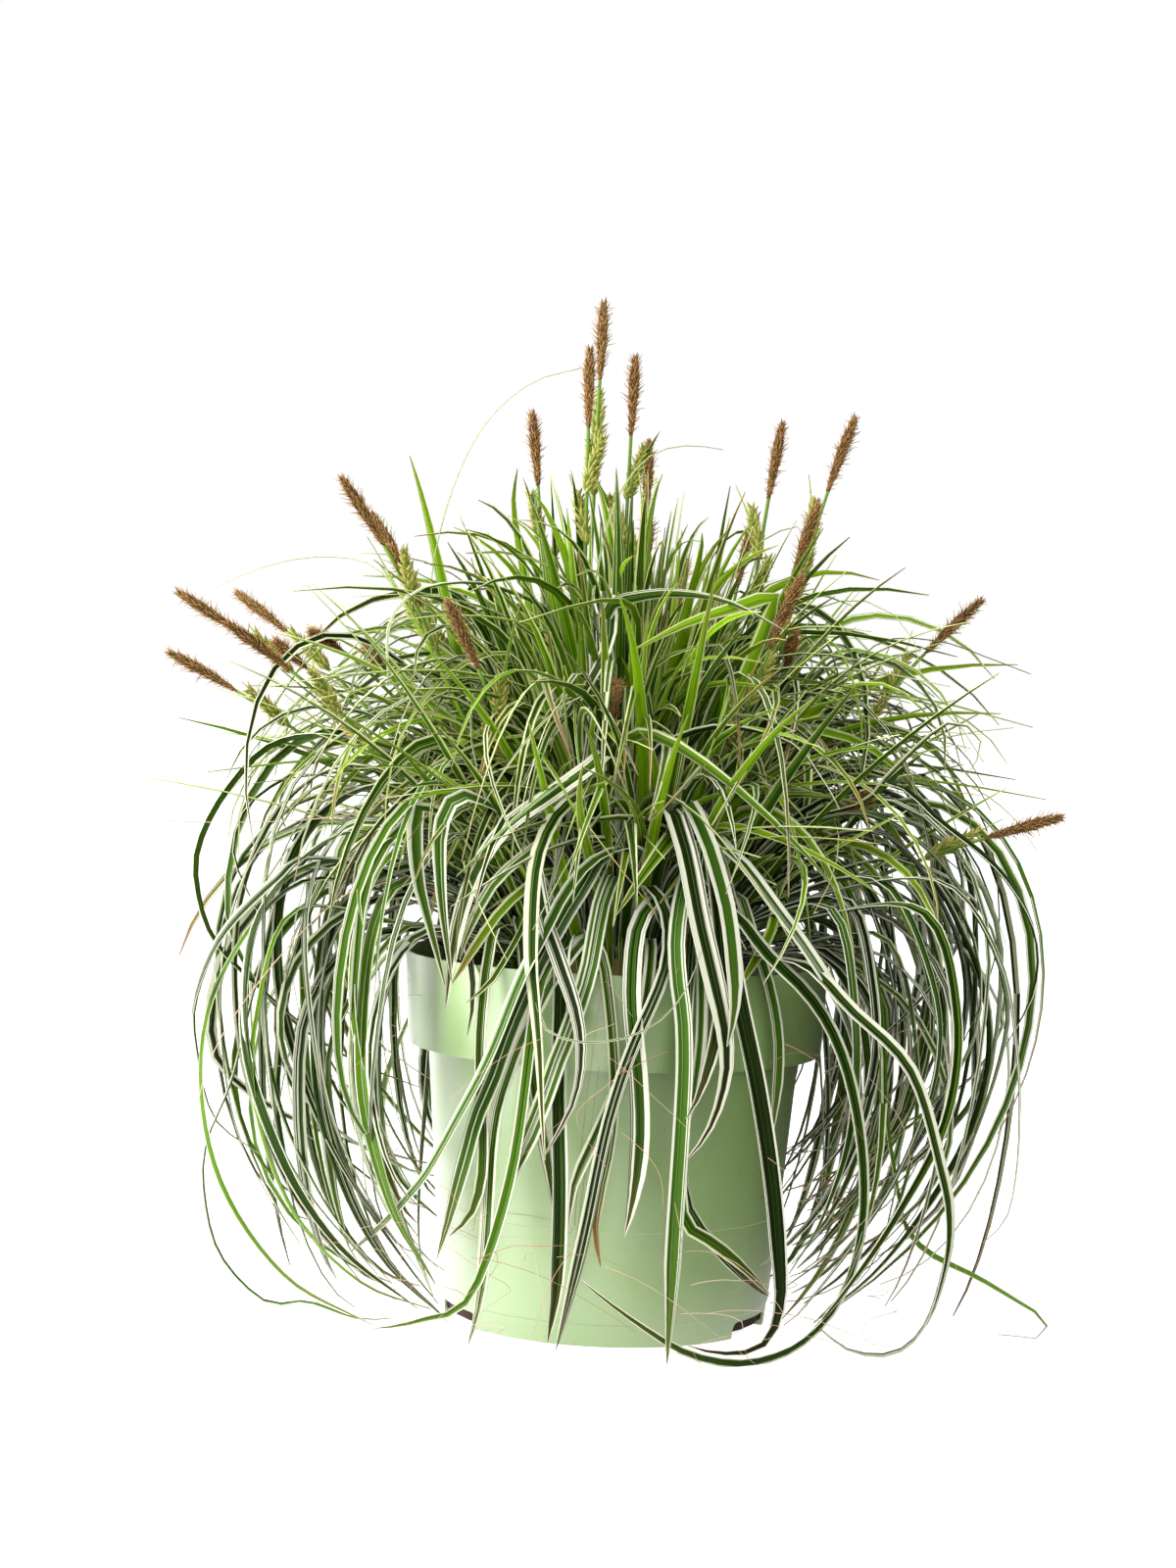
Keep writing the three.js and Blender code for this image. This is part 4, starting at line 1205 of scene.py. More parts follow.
        (545, 1010, 110), (550, 1038, 115), (560, 1054, 118), (580, 1061, 120), (605, 1064, 121),
        (635, 1060, 121), (660, 1050, 121), (682, 1034, 120), (702, 1006, 119), (716, 970, 116),
    ]),
    "top_hair": (0.9, 0.5, 0.6, 0, [
        (462, 690, 60), (440, 610, 78), (455, 520, 90), (490, 440, 92), (540, 392, 84), (592, 376, 70),
    ]),
    "top_hair_right": (0.9, 0.5, 0.6, 0, [
        (604, 620, 30), (625, 520, 30), (660, 468, 32), (700, 455, 36), (738, 459, 42),
    ]),
    "right_hair": (0.9, 0.5, 0.6, 0, [
        (850, 700, 120), (900, 655, 150), (960, 655, 176), (1010, 672, 192), (1052, 688, 200),
    ]),
    "right_hair_low": (0.9, 0.5, 0.6, 0, [
        (930, 790, 160), (985, 800, 180), (1030, 830, 196), (1058, 868, 202),
    ]),
    "left_hair": (0.9, 0.5, 0.6, 0, [
        (430, 640, 92), (385, 580, 112), (330, 568, 132), (270, 578, 156), (212, 603, 182),
    ]),
    "right_floor_leaf": (6, 0.7, 0.2, 0, [
        (880, 1060, 118), (908, 1200, 128), (935, 1268, 150), (1000, 1305, 182), (1040, 1329, 197),
        (1058, 1340, 201), (1067, 1350, 203), (1067, 1360, 203), (1058, 1369, 201), (1044, 1375, 197),
        (1030, 1375, 193), (1018, 1371, 190),
    ]),
    "floor_leaf_left": (5, 0.9, 0.2, 0, [
        (545, 1130, 110), (520, 1270, 112), (478, 1368, 118), (428, 1382, 126), (379, 1374, 134),
    ]),
    "right_outer": (7, 1.0, 0.3, 0, [
        (880, 830, 150), (950, 870, 176), (1005, 950, 194), (1027, 1020, 198), (1020, 1080, 196),
        (990, 1170, 184), (962, 1225, 170),
    ]),
    "right_outer_low": (7.5, 0.95, 0.25, 0, [
        (930, 880, 165), (985, 960, 186), (1008, 1040, 192), (1000, 1120, 188), (965, 1200, 174),
        (900, 1290, 148), (830, 1350, 118),
    ]),
    "right_long_curl": (4.5, 0.9, 0.3, 0, [
        (960, 900, 176), (1020, 980, 196), (1038, 1080, 199), (1040, 1150, 199), (1036, 1205, 196),
        (1026, 1245, 190), (1003, 1268, 182),
    ]),
    "nest_1": (7.5, 1.0, 0.2, 0, [
        (900, 850, 160), (965, 930, 182), (985, 1020, 186), (960, 1120, 176), (900, 1220, 152),
        (845, 1280, 128), (803, 1312, 108),
    ]),
    "nest_2": (7, 0.9, 0.26, 20, [
        (880, 870, 152), (930, 950, 170), (950, 1040, 174), (930, 1130, 164), (880, 1210, 144),
        (835, 1260, 124), (808, 1290, 110),
    ]),
    "nest_3": (8, 1.0, 0.22, 0, [
        (900, 900, 158), (950, 1000, 174), (955, 1090, 174), (920, 1190, 158), (870, 1270, 138),
        (815, 1340, 112), (800, 1352, 104),
    ]),
    "nest_4": (7, 0.95, 0.2, 0, [
        (860, 880, 142), (900, 960, 158), (915, 1050, 160), (895, 1130, 150), (850, 1200, 128),
        (815, 1235, 112),
    ]),
    "nest_5": (6.5, 0.85, 0.25, 30, [
        (940, 930, 172), (975, 1030, 184), (965, 1140, 178), (915, 1240, 156), (860, 1320, 132),
        (820, 1368, 114),
    ]),
    "nest_6": (7.5, 1.0, 0.18, 0, [
        (865, 920, 138), (890, 1010, 150), (890, 1090, 148), (865, 1160, 136), (820, 1215, 114),
    ]),
    "nest_7": (7, 0.9, 0.3, 0, [
        (920, 900, 165), (960, 990, 180), (960, 1090, 178), (925, 1180, 162), (865, 1260, 134),
        (815, 1300, 110),
    ]),
    "nest_8": (6, 1.0, 0.2, 0, [
        (850, 930, 130), (872, 1040, 140), (868, 1150, 136), (840, 1240, 120), (805, 1300, 104),
    ]),
    "nest_9": (5.5, 0.9, 0.24, 20, [
        (905, 960, 160), (935, 1080, 168), (925, 1200, 160), (885, 1290, 140), (835, 1345, 118),
    ]),
    "left_foot_outer": (6.5, 0.95, 0.24, -40, [
        (330, 880, 132), (267, 930, 158), (250, 1055, 168), (288, 1181, 158), (347, 1272, 138),
        (426, 1335, 108),
    ]),
    "left_foot_middle": (7.5, 0.75, 0.16, -50, [
        (385, 880, 112), (338, 930, 134), (324, 1078, 140), (347, 1192, 132), (392, 1283, 116),
        (455, 1346, 96),
    ]),
    "left_foot_inner": (7, 0.85, 0.18, -50, [
        (410, 900, 104), (378, 964, 118), (370, 1101, 122), (398, 1226, 112), (444, 1310, 98),
    ]),
    "left_foot_low": (5.5, 0.8, 0.2, -30, [
        (310, 900, 140), (235, 980, 172), (206, 1080, 184), (224, 1200, 178), (290, 1300, 156),
        (380, 1352, 128),
    ]),
    "bow_1": (5.5, 0.95, 0.4, 0, [
        (380, 840, 116), (310, 880, 145), (275, 950, 160), (270, 1040, 164), (290, 1140, 156),
        (340, 1240, 134), (400, 1310, 108),
    ]),
    "bow_2": (6.5, 0.9, 0.3, 20, [
        (400, 800, 104), (330, 830, 135), (290, 900, 154), (285, 1000, 158), (310, 1100, 148),
        (350, 1190, 130), (405, 1270, 106),
    ]),
    "bow_3": (5, 0.8, 0.4, 0, [
        (390, 900, 112), (340, 960, 134), (325, 1050, 141), (340, 1140, 134), (380, 1230, 116),
        (430, 1300, 100),
    ]),
    "bow_4": (4.5, 0.9, 0.45, 0, [
        (360, 780, 120), (290, 820, 150), (250, 900, 167), (240, 1000, 174), (255, 1110, 168),
        (300, 1220, 150), (370, 1310, 118),
    ]),
    "bow_5": (6, 1.0, 0.5, 0, [
        (350, 850, 128), (270, 920, 160), (248, 1010, 170), (262, 1110, 164), (310, 1210, 145),
        (385, 1300, 112),
    ]),
    "bow_6": (7, 0.7, 0.15, 0, [
        (405, 870, 106), (370, 930, 120), (360, 1010, 126), (372, 1100, 120), (405, 1190, 106),
    ]),
    "bow_7": (3.5, 0.8, 0.5, 0, [
        (330, 800, 136), (262, 870, 164), (230, 960, 177), (226, 1060, 178), (244, 1160, 170),
        (290, 1250, 148),
    ]),
}
for name, (*measures, points) in LONG_BLADES.items():
    LONG_BLADES[name] = (*measures, [(*point, FRONT_REACH)[:3] for point in points])
print("long blades:", len(LONG_BLADES))

# %% [markdown]
# ## Which long blade lies over which
# Blades that hang in front lie in layers, like shingles: one that comes from a higher arch lies
# outside the lower ones that it crosses. Where two cross is worked out from their tracks in the
# picture, and each gets a rank and from it its reach. The blades at the sides are another matter.
# The ray meets their reach on the near side, so seen from the left or right they would all hang in
# one rope in front. Each is slid back along its line of sight by a share of its own, except the
# foremost, which do hang in front.

# %% Layers in front
IN_FRONT = 130.0
DRAWN_IN = (0.3, 1.0)
JUST_BEYOND = 0.5
FOREMOST = {"right_slope", "right_hoop", "outer_hoop", "left_hoop", "left_hoop_inner", "left_hoop_low"}
PIXELS_PER_MM = 2.4
TRACK_STEPS = 12
NEST = {"furthest": 116.0, "rim": 175.0, "least": 100.0, "step": 2.1, "arch": 24.0, "fall": 55.0}


def picture_heights(points):
    return [seen(*point)[2] for point in points]


def hangs_in_front(points):
    near = max(point[2] for point in points) <= NEST["furthest"]
    return near and min(picture_heights(points)) <= NEST["rim"]


def picture_track(points):
    corners = np.array([point[:2] for point in points], float)
    steps = np.linspace(0, len(corners) - 1, TRACK_STEPS * len(corners))
    sides = [np.interp(steps, np.arange(len(corners)), side) for side in corners.T]
    return np.stack(sides, axis=1)


def overlap(one, other):
    """Whether two blades cover each other somewhere in the picture."""
    apart = np.linalg.norm(picture_track(one[4])[:, None] - picture_track(other[4])[None], axis=2).min()
    return apart < PIXELS_PER_MM * (one[0] + other[0]) / 2


def nest_ranks(rows):
    """The ranks of the blades in front: a higher arch lies outside each lower one that it covers."""
    ranks = {}
    for name in sorted(rows, key=lambda name: max(picture_heights(rows[name][4]))):
        below = [rank for other, rank in ranks.items() if overlap(rows[name], rows[other])]
        ranks[name] = max(below, default=-1) + 1
    return ranks


def nested(points, rank):
    """The points of a blade that hangs in front, its reach set by its rank among the others."""
    heights = picture_heights(points)
    apex = max(heights)
    hang = NEST["least"] + NEST["step"] * rank
    lag = [math.sqrt(1 - (1 - np.clip((apex - height) / NEST["fall"], 0, 1)) ** 2) for height in heights]
    return [(*point[:2], hang - NEST["arch"] * (1 - share)) for point, share in zip(points, lag)]


def drawn_in(points, share):
    """The same points in the picture, each slid back on its line of sight towards the plant's side."""
    places = [seen(*point) for point in points]
    reaches = [math.hypot(place[0], share * place[1]) + JUST_BEYOND for place in places]
    return [(*point[:2], reach) for point, reach in zip(points, reaches)]


ranks = nest_ranks({name: row for name, row in LONG_BLADES.items() if hangs_in_front(row[4])})
print("blades in front:", len(ranks), "in", max(ranks.values()) + 1, "layers")

# %% Long blades
TINTS = {"start": 0.21, "step": 0.37}
DRY_END = 0.15
DRY_TIPS = {"brown_tip": 0.95, "left_light_slant": 0.7}
TIP_IN_FRONT = 0.14
TIP_ELSEWHERE = 0.3
LONG_TIPS = {
    "dark_arch": 0.5, "light_heart": 0.35, "right_floor_leaf": 0.7, "silver_cross": 0.35, "white_fall": 0.3,
}
WHITER_IN_FRONT = 0.08
LAYERS = 7
LAYER_JUMP = 3
LAYER_STEP = 1.6
GOLDEN_SHARE = 0.618
LONG_OFF_WALL = 3.0

bm = new_leaves()
for number, (name, (width, age, margin, turn, points)) in enumerate(LONG_BLADES.items()):
    tint = (TINTS["step"] * number + TINTS["start"]) % 1
    look = {"age": age, "margin": margin, "tint": tint, "dry": DRY_TIPS.get(name, DRY_END)}
    look["tip_share"] = LONG_TIPS.get(name, TIP_IN_FRONT if name in ranks else TIP_ELSEWHERE)
    layer = 0.0 if name in ranks else LAYER_STEP * (number * LAYER_JUMP % LAYERS)
    if name in ranks:
        points = nested(points, ranks[name])
        look["margin"] = margin + WHITER_IN_FRONT
    elif name not in FOREMOST and max(point[2] for point in points) > IN_FRONT:
        points = drawn_in(points, mix(*DRAWN_IN, GOLDEN_SHARE * number % 1))
    laid = [(across, down, reach + (layer if reach < IN_FRONT else 0)) for across, down, reach in points]
    line = clear_of_pot(long_line(laid), LONG_OFF_WALL + layer)
    add_blade(bm, line, width, look, turn, columns=4)
thicken(make_piece("long_blades", bm, leaf, "leaf"), LEAF_THICKNESS)
print("long blades made:", len(LONG_BLADES))

# %% [markdown]
# ## Stalks and tubes
# Stems, spikes and dry threads are all round and thin. A grid can be rolled up along a line: its
# columns go round, its rows along, the seam is merged and both ends are filled. Five or six sides
# are enough for something a millimetre or two thick.

# %% Tube helper
def add_tube(bm, line, radii, sides, values=None):
    along, across = line_frame(line)
    third = np.cross(along, across)
    angle = np.linspace(0, 2 * math.pi, sides + 1)[None, :, None]
    round_it = across[:, None] * np.cos(angle) + third[:, None] * np.sin(angle)
    places = line[:, None] + np.asarray(radii, float)[:, None, None] * round_it
    grid = bmesh.ops.create_grid(bm, x_segments=sides, y_segments=len(line) - 1, size=0.5, calc_uvs=True)
    for vert, place in zip(grid["verts"], places.reshape(-1, 3)):
        vert.co = place
        for layer, value in (values or {}).items():
            vert[layer] = value
    faces = {face for vert in grid["verts"] for face in vert.link_faces}
    bmesh.ops.remove_doubles(bm, verts=grid["verts"], dist=1e-4)
    rims = list({edge for face in faces if face.is_valid for edge in face.edges if edge.is_boundary})
    bmesh.ops.holes_fill(bm, edges=rims, sides=0)


def pointing(place, heading, length, width, thickness):
    """A matrix that lays a unit shape at a place, with its Z along a heading."""
    turn = Vector(heading).to_track_quat("Z", "Y").to_matrix().to_4x4()
    return Matrix.Translation(Vector(place)) @ turn @ Matrix.Diagonal((width, thickness, length, 1))


tip = pointing((0, 0, 0), (1, 0, 0), 2.0, 1.0, 1.0) @ Vector((0, 0, 1))
print("the tip of a shape of length 2, laid along X:", [round(side, 1) for side in tip])


# %% [markdown]
# ## The finishes of stem, seed and pollen spikes
# The stem and its seed spikelets are one growth: a smooth green stalk, then plump yellow-green
# seed flasks whose beaks are browner. The spikes at the tips have shed their pollen. Their scales
# are dark brown with paler edges, and spent stamens, straw-coloured, stick out between them.

# %% Stem and spike finishes
def stem_finish():
    finish = Finish("stem_and_seed", Roughness=0.5, Specular_IOR_Level=0.12)
    seed = finish.value("seed")
    beak = finish.value("beak")
    mottle = finish.noise(finish.places("Object"), 900.0)
    stalk = finish.mix(mottle, paint("#47691f"), paint("#76923c"))
    plump = finish.mix(finish.value("tint"), paint("#6a792d"), paint("#a6a757"))
    colour = finish.mix(seed, stalk, plump)
    finish.colour(finish.mix(beak, colour, paint("#b98f55")))
    finish.bump(mottle, 0.0002, 0.4)
    return finish.material


def pollen_finish():
    finish = Finish("pollen_spike", Roughness=0.8, Specular_IOR_Level=0.1)
    grain = finish.noise(finish.places("Object"), 1400.0, detail=3.0)
    scale = finish.mix(finish.value("tint"), paint("#382614"), paint("#8a623a"))
    scale = finish.mix(finish.math("MULTIPLY", grain, 0.4), scale, paint("#b8935a"))
    finish.colour(finish.mix(finish.value("stamen"), scale, paint("#b5905d")))
    finish.bump(grain, 0.0003, 0.6)
    return finish.material


stem_material = stem_finish()
pollen_material = pollen_finish()
print("finishes:", stem_material.name, pollen_material.name)

# %% [markdown]
# ## The flowering stems
# Each stem stands on the border between two tufts, upright in the soil and leaning out above it.
# Near its top it carries one or two seed spikelets, and its tip is the pollen spike. A seed flask
# is a small sphere of twenty faces with one pole drawn out into a beak; some fifty of them go
# round the spikelet in a spiral, each turned by the golden angle from the last. The pollen spike is
# thickest past its middle. Its scales lie close, and its stamens stand out at all angles.

# %% Measures of stems and spikes
GOLDEN_ANGLE = 137.5
STEM_HOLE_FLOOR = 138.3
STEM_RADII = (1.2, 0.8)
STALK_ROWS = 18
POLLEN = {
    "length": 34.0, "radius": 2.5, "core": 0.75, "seat": 0.7,
    "scales": 130, "scale": (4.0, 0.95, 0.45), "scale_sizes": (0.75, 1.2), "scale_lift": 16,
    "stamens": 170, "stamen_lengths": (2.2, 5.4), "stamen_radius": 0.28, "stamen_lift": 38,
}
SEED = {
    "length": 24.0, "radius": 2.4, "core": 0.75, "seat": 0.6,
    "lean": 20.0, "drop": 28.0, "step": 23.0,
    "flasks": 54, "flask": (2.0, 1.05, 0.85), "flask_sizes": (1.0, 1.35), "flask_lift": 36, "beak": 2.1,
}
SCALE_CONE = {"cap_ends": True, "segments": 4, "radius1": 1, "radius2": 0, "depth": 1}
STAMEN_CONE = {"cap_ends": True, "segments": 3, "radius1": 1, "radius2": 0.4, "depth": 1}
STEM_MEASURES = ("border", "root", "tip", "height", "seeds")
STEM_ROWS = [
    (1, 50, 112, 331, 2), (2, 50, 88, 365, 1), (2, 58, 203, 235, 1), (3, 50, 97, 406, 2),
    (3, 58, 157, 327, 2), (4, 50, 74, 405, 2), (5, 50, 92, 363, 1), (6, 22, 27, 394, 2),
    (6, 50, 124, 345, 2), (7, 22, 9, 430, 2), (7, 50, 165, 318, 1), (8, 50, 78, 408, 2),
    (9, 22, 19, 454, 2), (9, 50, 135, 358, 1), (9, 58, 208, 320, 1), (10, 50, 203, 317, 1),
    (10, 58, 206, 290, 1), (11, 22, 25, 431, 2), (11, 50, 140, 367, 2), (11, 58, 189, 303, 2),
    (12, 50, 124, 315, 2),
]
STEMS = [dict(zip(STEM_MEASURES, row)) for row in STEM_ROWS]


print("stems to make:", len(STEMS))


# %% Path of a stem
def stem_line(stem):
    t = np.linspace(0, 1, 13)
    azimuth = FRONT + (stem["border"] + 0.5) * TUFT_ANGLE
    reach = quadratic(stem["root"], mix(stem["root"], stem["tip"], 0.14), stem["tip"], t)
    height = quadratic(CROWN_HEIGHT, mix(CROWN_HEIGHT, stem["height"], 0.55), stem["height"], t)
    return on_plant(reach, azimuth + 0 * t, height)


class StemPath:
    """A stem's middle line, asked for by the distance down from its tip."""

    def __init__(self, points):
        self.line = smooth_line(points, 160)
        steps = np.linalg.norm(np.diff(self.line, axis=0), axis=1)
        self.length = steps.sum()
        self.down = self.length - np.concatenate([[0], np.cumsum(steps)])

    def at(self, down):
        down = np.atleast_1d(down)
        return np.stack([np.interp(-down, -self.down, self.line[:, axis]) for axis in range(3)], -1)


print("the first stem is", round(StemPath(stem_line(STEMS[0])).length), "mm long")


# %% Spindles and spirals
def seed_spindle(share):
    """A seed spikelet is full nearly from its foot and blunt at its tip."""
    return 0.45 + 0.55 * np.sin(math.pi * np.clip(share + 0.16, 0, 1)) ** 0.7


def pollen_spindle(share):
    """A pollen spike has a thin foot, is thickest past its middle and ends in a point."""
    return 0.28 + 0.72 * np.sin(math.pi * np.asarray(share) ** 1.35) ** 0.9


def spiral(line, count, radius, profile, lift):
    """Places and outward headings round a line, each a golden angle on from the last."""
    along, across = line_frame(line)
    third = np.cross(along, across)
    for number in range(count):
        share = (number + 0.5) / count
        row = share * (len(line) - 1)
        low = min(int(row), len(line) - 2)
        middle = mix(line[low], line[low + 1], row - low)
        angle = math.radians(GOLDEN_ANGLE * number)
        out = across[low] * math.cos(angle) + third[low] * math.sin(angle)
        heading = out * math.sin(lift) + along[low] * math.cos(lift)
        yield share, middle + out * radius * profile(share), heading


def jitter(draw, spread):
    return spread * np.array([draw.around(1), draw.around(1), draw.around(1)])


def sized(sides, size):
    return [side * size for side in sides]


print("a spindle half way up:", round(float(seed_spindle(0.5)), 2), round(float(pollen_spindle(0.5)), 2))


# %% Seed spikelets and stalks
def add_seed_spikelet(bm, layers, root, heading, draw, length=SEED["length"]):
    line = np.array([root + heading * length * share for share in np.linspace(0, 1, 9)])
    radii = [SEED["radius"] * SEED["core"] * seed_spindle(share) for share in np.linspace(0, 1, 9)]
    add_tube(bm, line, radii, 5, {layers["seed"]: 1.0, layers["tint"]: 0.2})
    seat, lift = SEED["radius"] * SEED["seat"], math.radians(SEED["flask_lift"])
    for share, place, out in spiral(line, SEED["flasks"], seat, seed_spindle, lift):
        size = draw.between(*SEED["flask_sizes"]) * mix(0.6, 1, seed_spindle(share))
        out = unit(out + jitter(draw, 0.25))
        shape = pointing(place, out, *sized(SEED["flask"], size))
        flask = bmesh.ops.create_uvsphere(bm, u_segments=5, v_segments=4, radius=1.0, matrix=shape)["verts"]
        beak = max(flask, key=lambda vert: vert.co.dot(Vector(out)))
        beak.co += Vector(out) * SEED["beak"] * size
        tint = draw.next()
        for vert in flask:
            vert[layers["seed"]] = 1.0
            vert[layers["tint"]] = tint
        beak[layers["beak"]] = draw.next()


def add_stalk(bm, path, foot, spike):
    """The stalk alone: from its foot up to the foot of its pollen spike."""
    stalk = path.at(np.linspace(path.length, spike + 0.3, STALK_ROWS))
    add_tube(bm, np.vstack([foot, stalk]), np.linspace(*STEM_RADII, STALK_ROWS + 1), 6)


def seed_place(path, spike):
    """Root, heading and outer side of a seed spikelet, counted down from the tip."""
    down = POLLEN["length"] + SEED["drop"] + spike * SEED["step"]
    root, ahead = path.at([down, down - 2])
    along = Vector(unit(ahead - root))
    side = Vector((0, 0, 1)).cross(along).normalized()
    side.rotate(Matrix.Rotation(math.radians(25 + 160 * spike), 3, along))
    lean = math.radians(SEED["lean"])
    return root, np.array(along * math.cos(lean) + side * math.sin(lean)), np.array(side)


def add_stem(bm, layers, stem, number):
    path, draw = StemPath(stem_line(stem)), Draw(3000 + number)
    azimuth = FRONT + (stem["border"] + 0.5) * TUFT_ANGLE
    add_stalk(bm, path, on_plant(stem["root"], np.array([azimuth]), STEM_HOLE_FLOOR), POLLEN["length"])
    for spike in range(stem["seeds"]):
        root, heading, _ = seed_place(path, spike)
        add_seed_spikelet(bm, layers, root, heading, draw)


print("a seed spikelet:", SEED["flasks"], "flasks over", SEED["length"], "mm")


# %% Pollen spikes
def add_pollen_spike(bm, layers, path, number, length=POLLEN["length"]):
    draw = Draw(4000 + number)
    line = path.at(np.linspace(length, 0, 12))
    radii = POLLEN["radius"] * POLLEN["core"] * pollen_spindle(np.linspace(0, 1, 12))
    add_tube(bm, line, radii, 6, {layers["tint"]: 0.0})
    seat, lift = POLLEN["radius"] * POLLEN["seat"], math.radians(POLLEN["scale_lift"])
    for share, place, out in spiral(line, POLLEN["scales"], seat, pollen_spindle, lift):
        size = draw.between(*POLLEN["scale_sizes"])
        heading = unit(out + jitter(draw, 0.2))
        shape = pointing(place + heading * 1.2, heading, *sized(POLLEN["scale"], size))
        scale = bmesh.ops.create_cone(bm, matrix=shape, **SCALE_CONE)
        tint = draw.next()
        for vert in scale["verts"]:
            vert[layers["tint"]] = tint
    lift = math.radians(POLLEN["stamen_lift"])
    for share, place, out in spiral(line, POLLEN["stamens"], seat, pollen_spindle, lift):
        heading = unit(out + jitter(draw, 0.75))
        long = draw.between(*POLLEN["stamen_lengths"]) * mix(0.5, 1, pollen_spindle(share))
        radius = POLLEN["stamen_radius"]
        shape = pointing(place + heading * long / 2, heading, long, radius, radius)
        for vert in bmesh.ops.create_cone(bm, matrix=shape, **STAMEN_CONE)["verts"]:
            vert[layers["stamen"]] = draw.between(0.5, 1)


print("a pollen spike:", POLLEN["scales"], "scales and", POLLEN["stamens"], "stamens")


# %% Stems and spikes
def new_growth(*names):
    bm = bmesh.new()
    bm.loops.layers.uv.verify()
    return bm, {name: bm.verts.layers.float.new(name) for name in names}


for number, stem in enumerate(STEMS, 1):
    bm, layers = new_growth("seed", "beak", "tint")
    add_stem(bm, layers, stem, number)
    make_piece(f"stalk_{number:02d}", bm, stem_material, "stem", f"flower_stem_{number:02d}")
    bm, layers = new_growth("tint", "stamen")
    add_pollen_spike(bm, layers, StemPath(stem_line(stem)), number)
    make_piece(f"brown_spike_{number:02d}", bm, pollen_material, "pollen", f"pollen_spike_{number:02d}")
print("stems:", len(STEMS))

# %% [markdown]
# ## Bracts and young spikes
# A narrow leaf, the bract, stands below each seed spikelet and follows it up past its tip. Besides
# the stems of the frame there are a few younger ones, thinner, with shorter spikes. They are set by
# the picture points that they pass, like the long blades.

# %% Bracts and young spikes
BRACT = {"length": (26.0, 62.0), "width": (1.4, 2.4), "bend": 9.0}
YOUNG_STEMS = {
    "left_low": (22, 0, [(452, 760, 70), (392, 702, 100), (347, 660, 130), (305, 639, 152)]),
    "left_outer": (20, 0, [(430, 770, 80), (360, 720, 112), (298, 668, 146), (254, 636, 172)]),
    "left_short": (18, 1, [(440, 745, 76), (398, 690, 98), (366, 648, 114), (352, 622, 120)]),
    "front": (15, 1, [(622, 800, 58), (624, 740, 66), (630, 690, 72), (633, 655, 74)]),
    "right_low": (20, 0, [(800, 880, 84), (850, 835, 108), (900, 804, 134), (938, 788, 152)]),
    "middle": (14, 1, [(672, 720, 20), (668, 640, 20), (664, 580, 22), (660, 530, 24)]),
    "right_middle": (22, 1, [(780, 760, 60), (800, 690, 70), (812, 640, 78), (820, 590, 84)]),
    "left_twin": (30, 1, [(470, 720, 60), (440, 640, 78), (405, 570, 94), (372, 527, 104)]),
}

bm = new_leaves()
for number, stem in enumerate(STEMS):
    path, draw = StemPath(stem_line(stem)), Draw(3600 + number)
    for spike in range(stem["seeds"]):
        root, heading, side = seed_place(path, spike)
        t = np.linspace(0, 1, 9)[:, None]
        length = draw.between(*BRACT["length"])
        line = root + heading * length * t + side * BRACT["bend"] * draw.next() * t * t
        look = {"age": 0.1, "margin": 0.1, "tint": draw.next(), "dry": 0.8}
        add_blade(bm, line, draw.between(*BRACT["width"]), look)
thicken(make_piece("bracts", bm, leaf, "leaf"), LEAF_THICKNESS)

stalks, stalk_layers = new_growth("seed", "beak", "tint")
spikes, spike_layers = new_growth("tint", "stamen")
for number, (spike, seeds, points) in enumerate(YOUNG_STEMS.values()):
    way = long_line(points)
    path, draw = StemPath(way[::4]), Draw(3700 + number)
    add_stalk(stalks, path, way[:1] - [[0, 0, 2]], spike)
    add_pollen_spike(spikes, spike_layers, path, 40 + number, spike)
    if seeds:
        root, heading, _ = seed_place(path, 0)
        add_seed_spikelet(stalks, stalk_layers, root, heading, draw, 20.0)
make_piece("young_stems", stalks, stem_material, "stem")
make_piece("young_spikes", spikes, pollen_material, "pollen")
print("young stems:", len(YOUNG_STEMS))

# %% [markdown]
# ## The pot
# A nursery pot is one thin moulding: a tapered body, a deep collar round its mouth, a low foot ring
# and small arches in the foot where water runs out. Its section is drawn once, as a wire, and spun
# round the axis. Bevelling the sharp rings gives the soft edges of a moulding. The arches are cut
# with four bevelled blocks. The plastic is a dull sage green under a broad, soft sheen, which a
# rough clear coat gives, with a little dust near the foot and a few specks.

# %% Section of the pot
POT = {
    "collar_foot_radius": 92.3,
    "foot_height": 10.0,
    "foot_inset": 0.6,
    "wall": 1.6,
    "floor": 2.2,
    "ridge_height": 50.0,
    "ridge": 0.35,
}
ARCHES = {"angles": (-154, -26, 26, 154), "spread": 27.0, "height": 7.0, "inner": 62.0}
POT_STEPS = 144


def pot_section():
    wall, floor, foot = POT["wall"], POT["floor"], POT["foot_height"]
    slope = (BODY_TOP_RADIUS - BASE_RADIUS) / COLLAR_FOOT
    inset = POT["foot_inset"]
    ridge, ridge_radius = POT["ridge_height"], BASE_RADIUS + slope * POT["ridge_height"]
    return [
        (0, 0),
        (BASE_RADIUS - inset, 0),
        (BASE_RADIUS + slope * foot - inset, foot - inset),
        (BASE_RADIUS + slope * foot, foot),
        (ridge_radius, ridge),
        (ridge_radius + POT["ridge"], ridge + POT["ridge"]),
        (BODY_TOP_RADIUS, COLLAR_FOOT),
        (POT["collar_foot_radius"], COLLAR_FOOT),
        (RIM_RADIUS, RIM_HEIGHT),
        (RIM_RADIUS - wall, RIM_HEIGHT),
        (POT["collar_foot_radius"] - wall, COLLAR_FOOT + wall),
        (BODY_TOP_RADIUS - wall, COLLAR_FOOT + wall),
        (BASE_RADIUS - wall, floor),
        (0, floor),
    ]


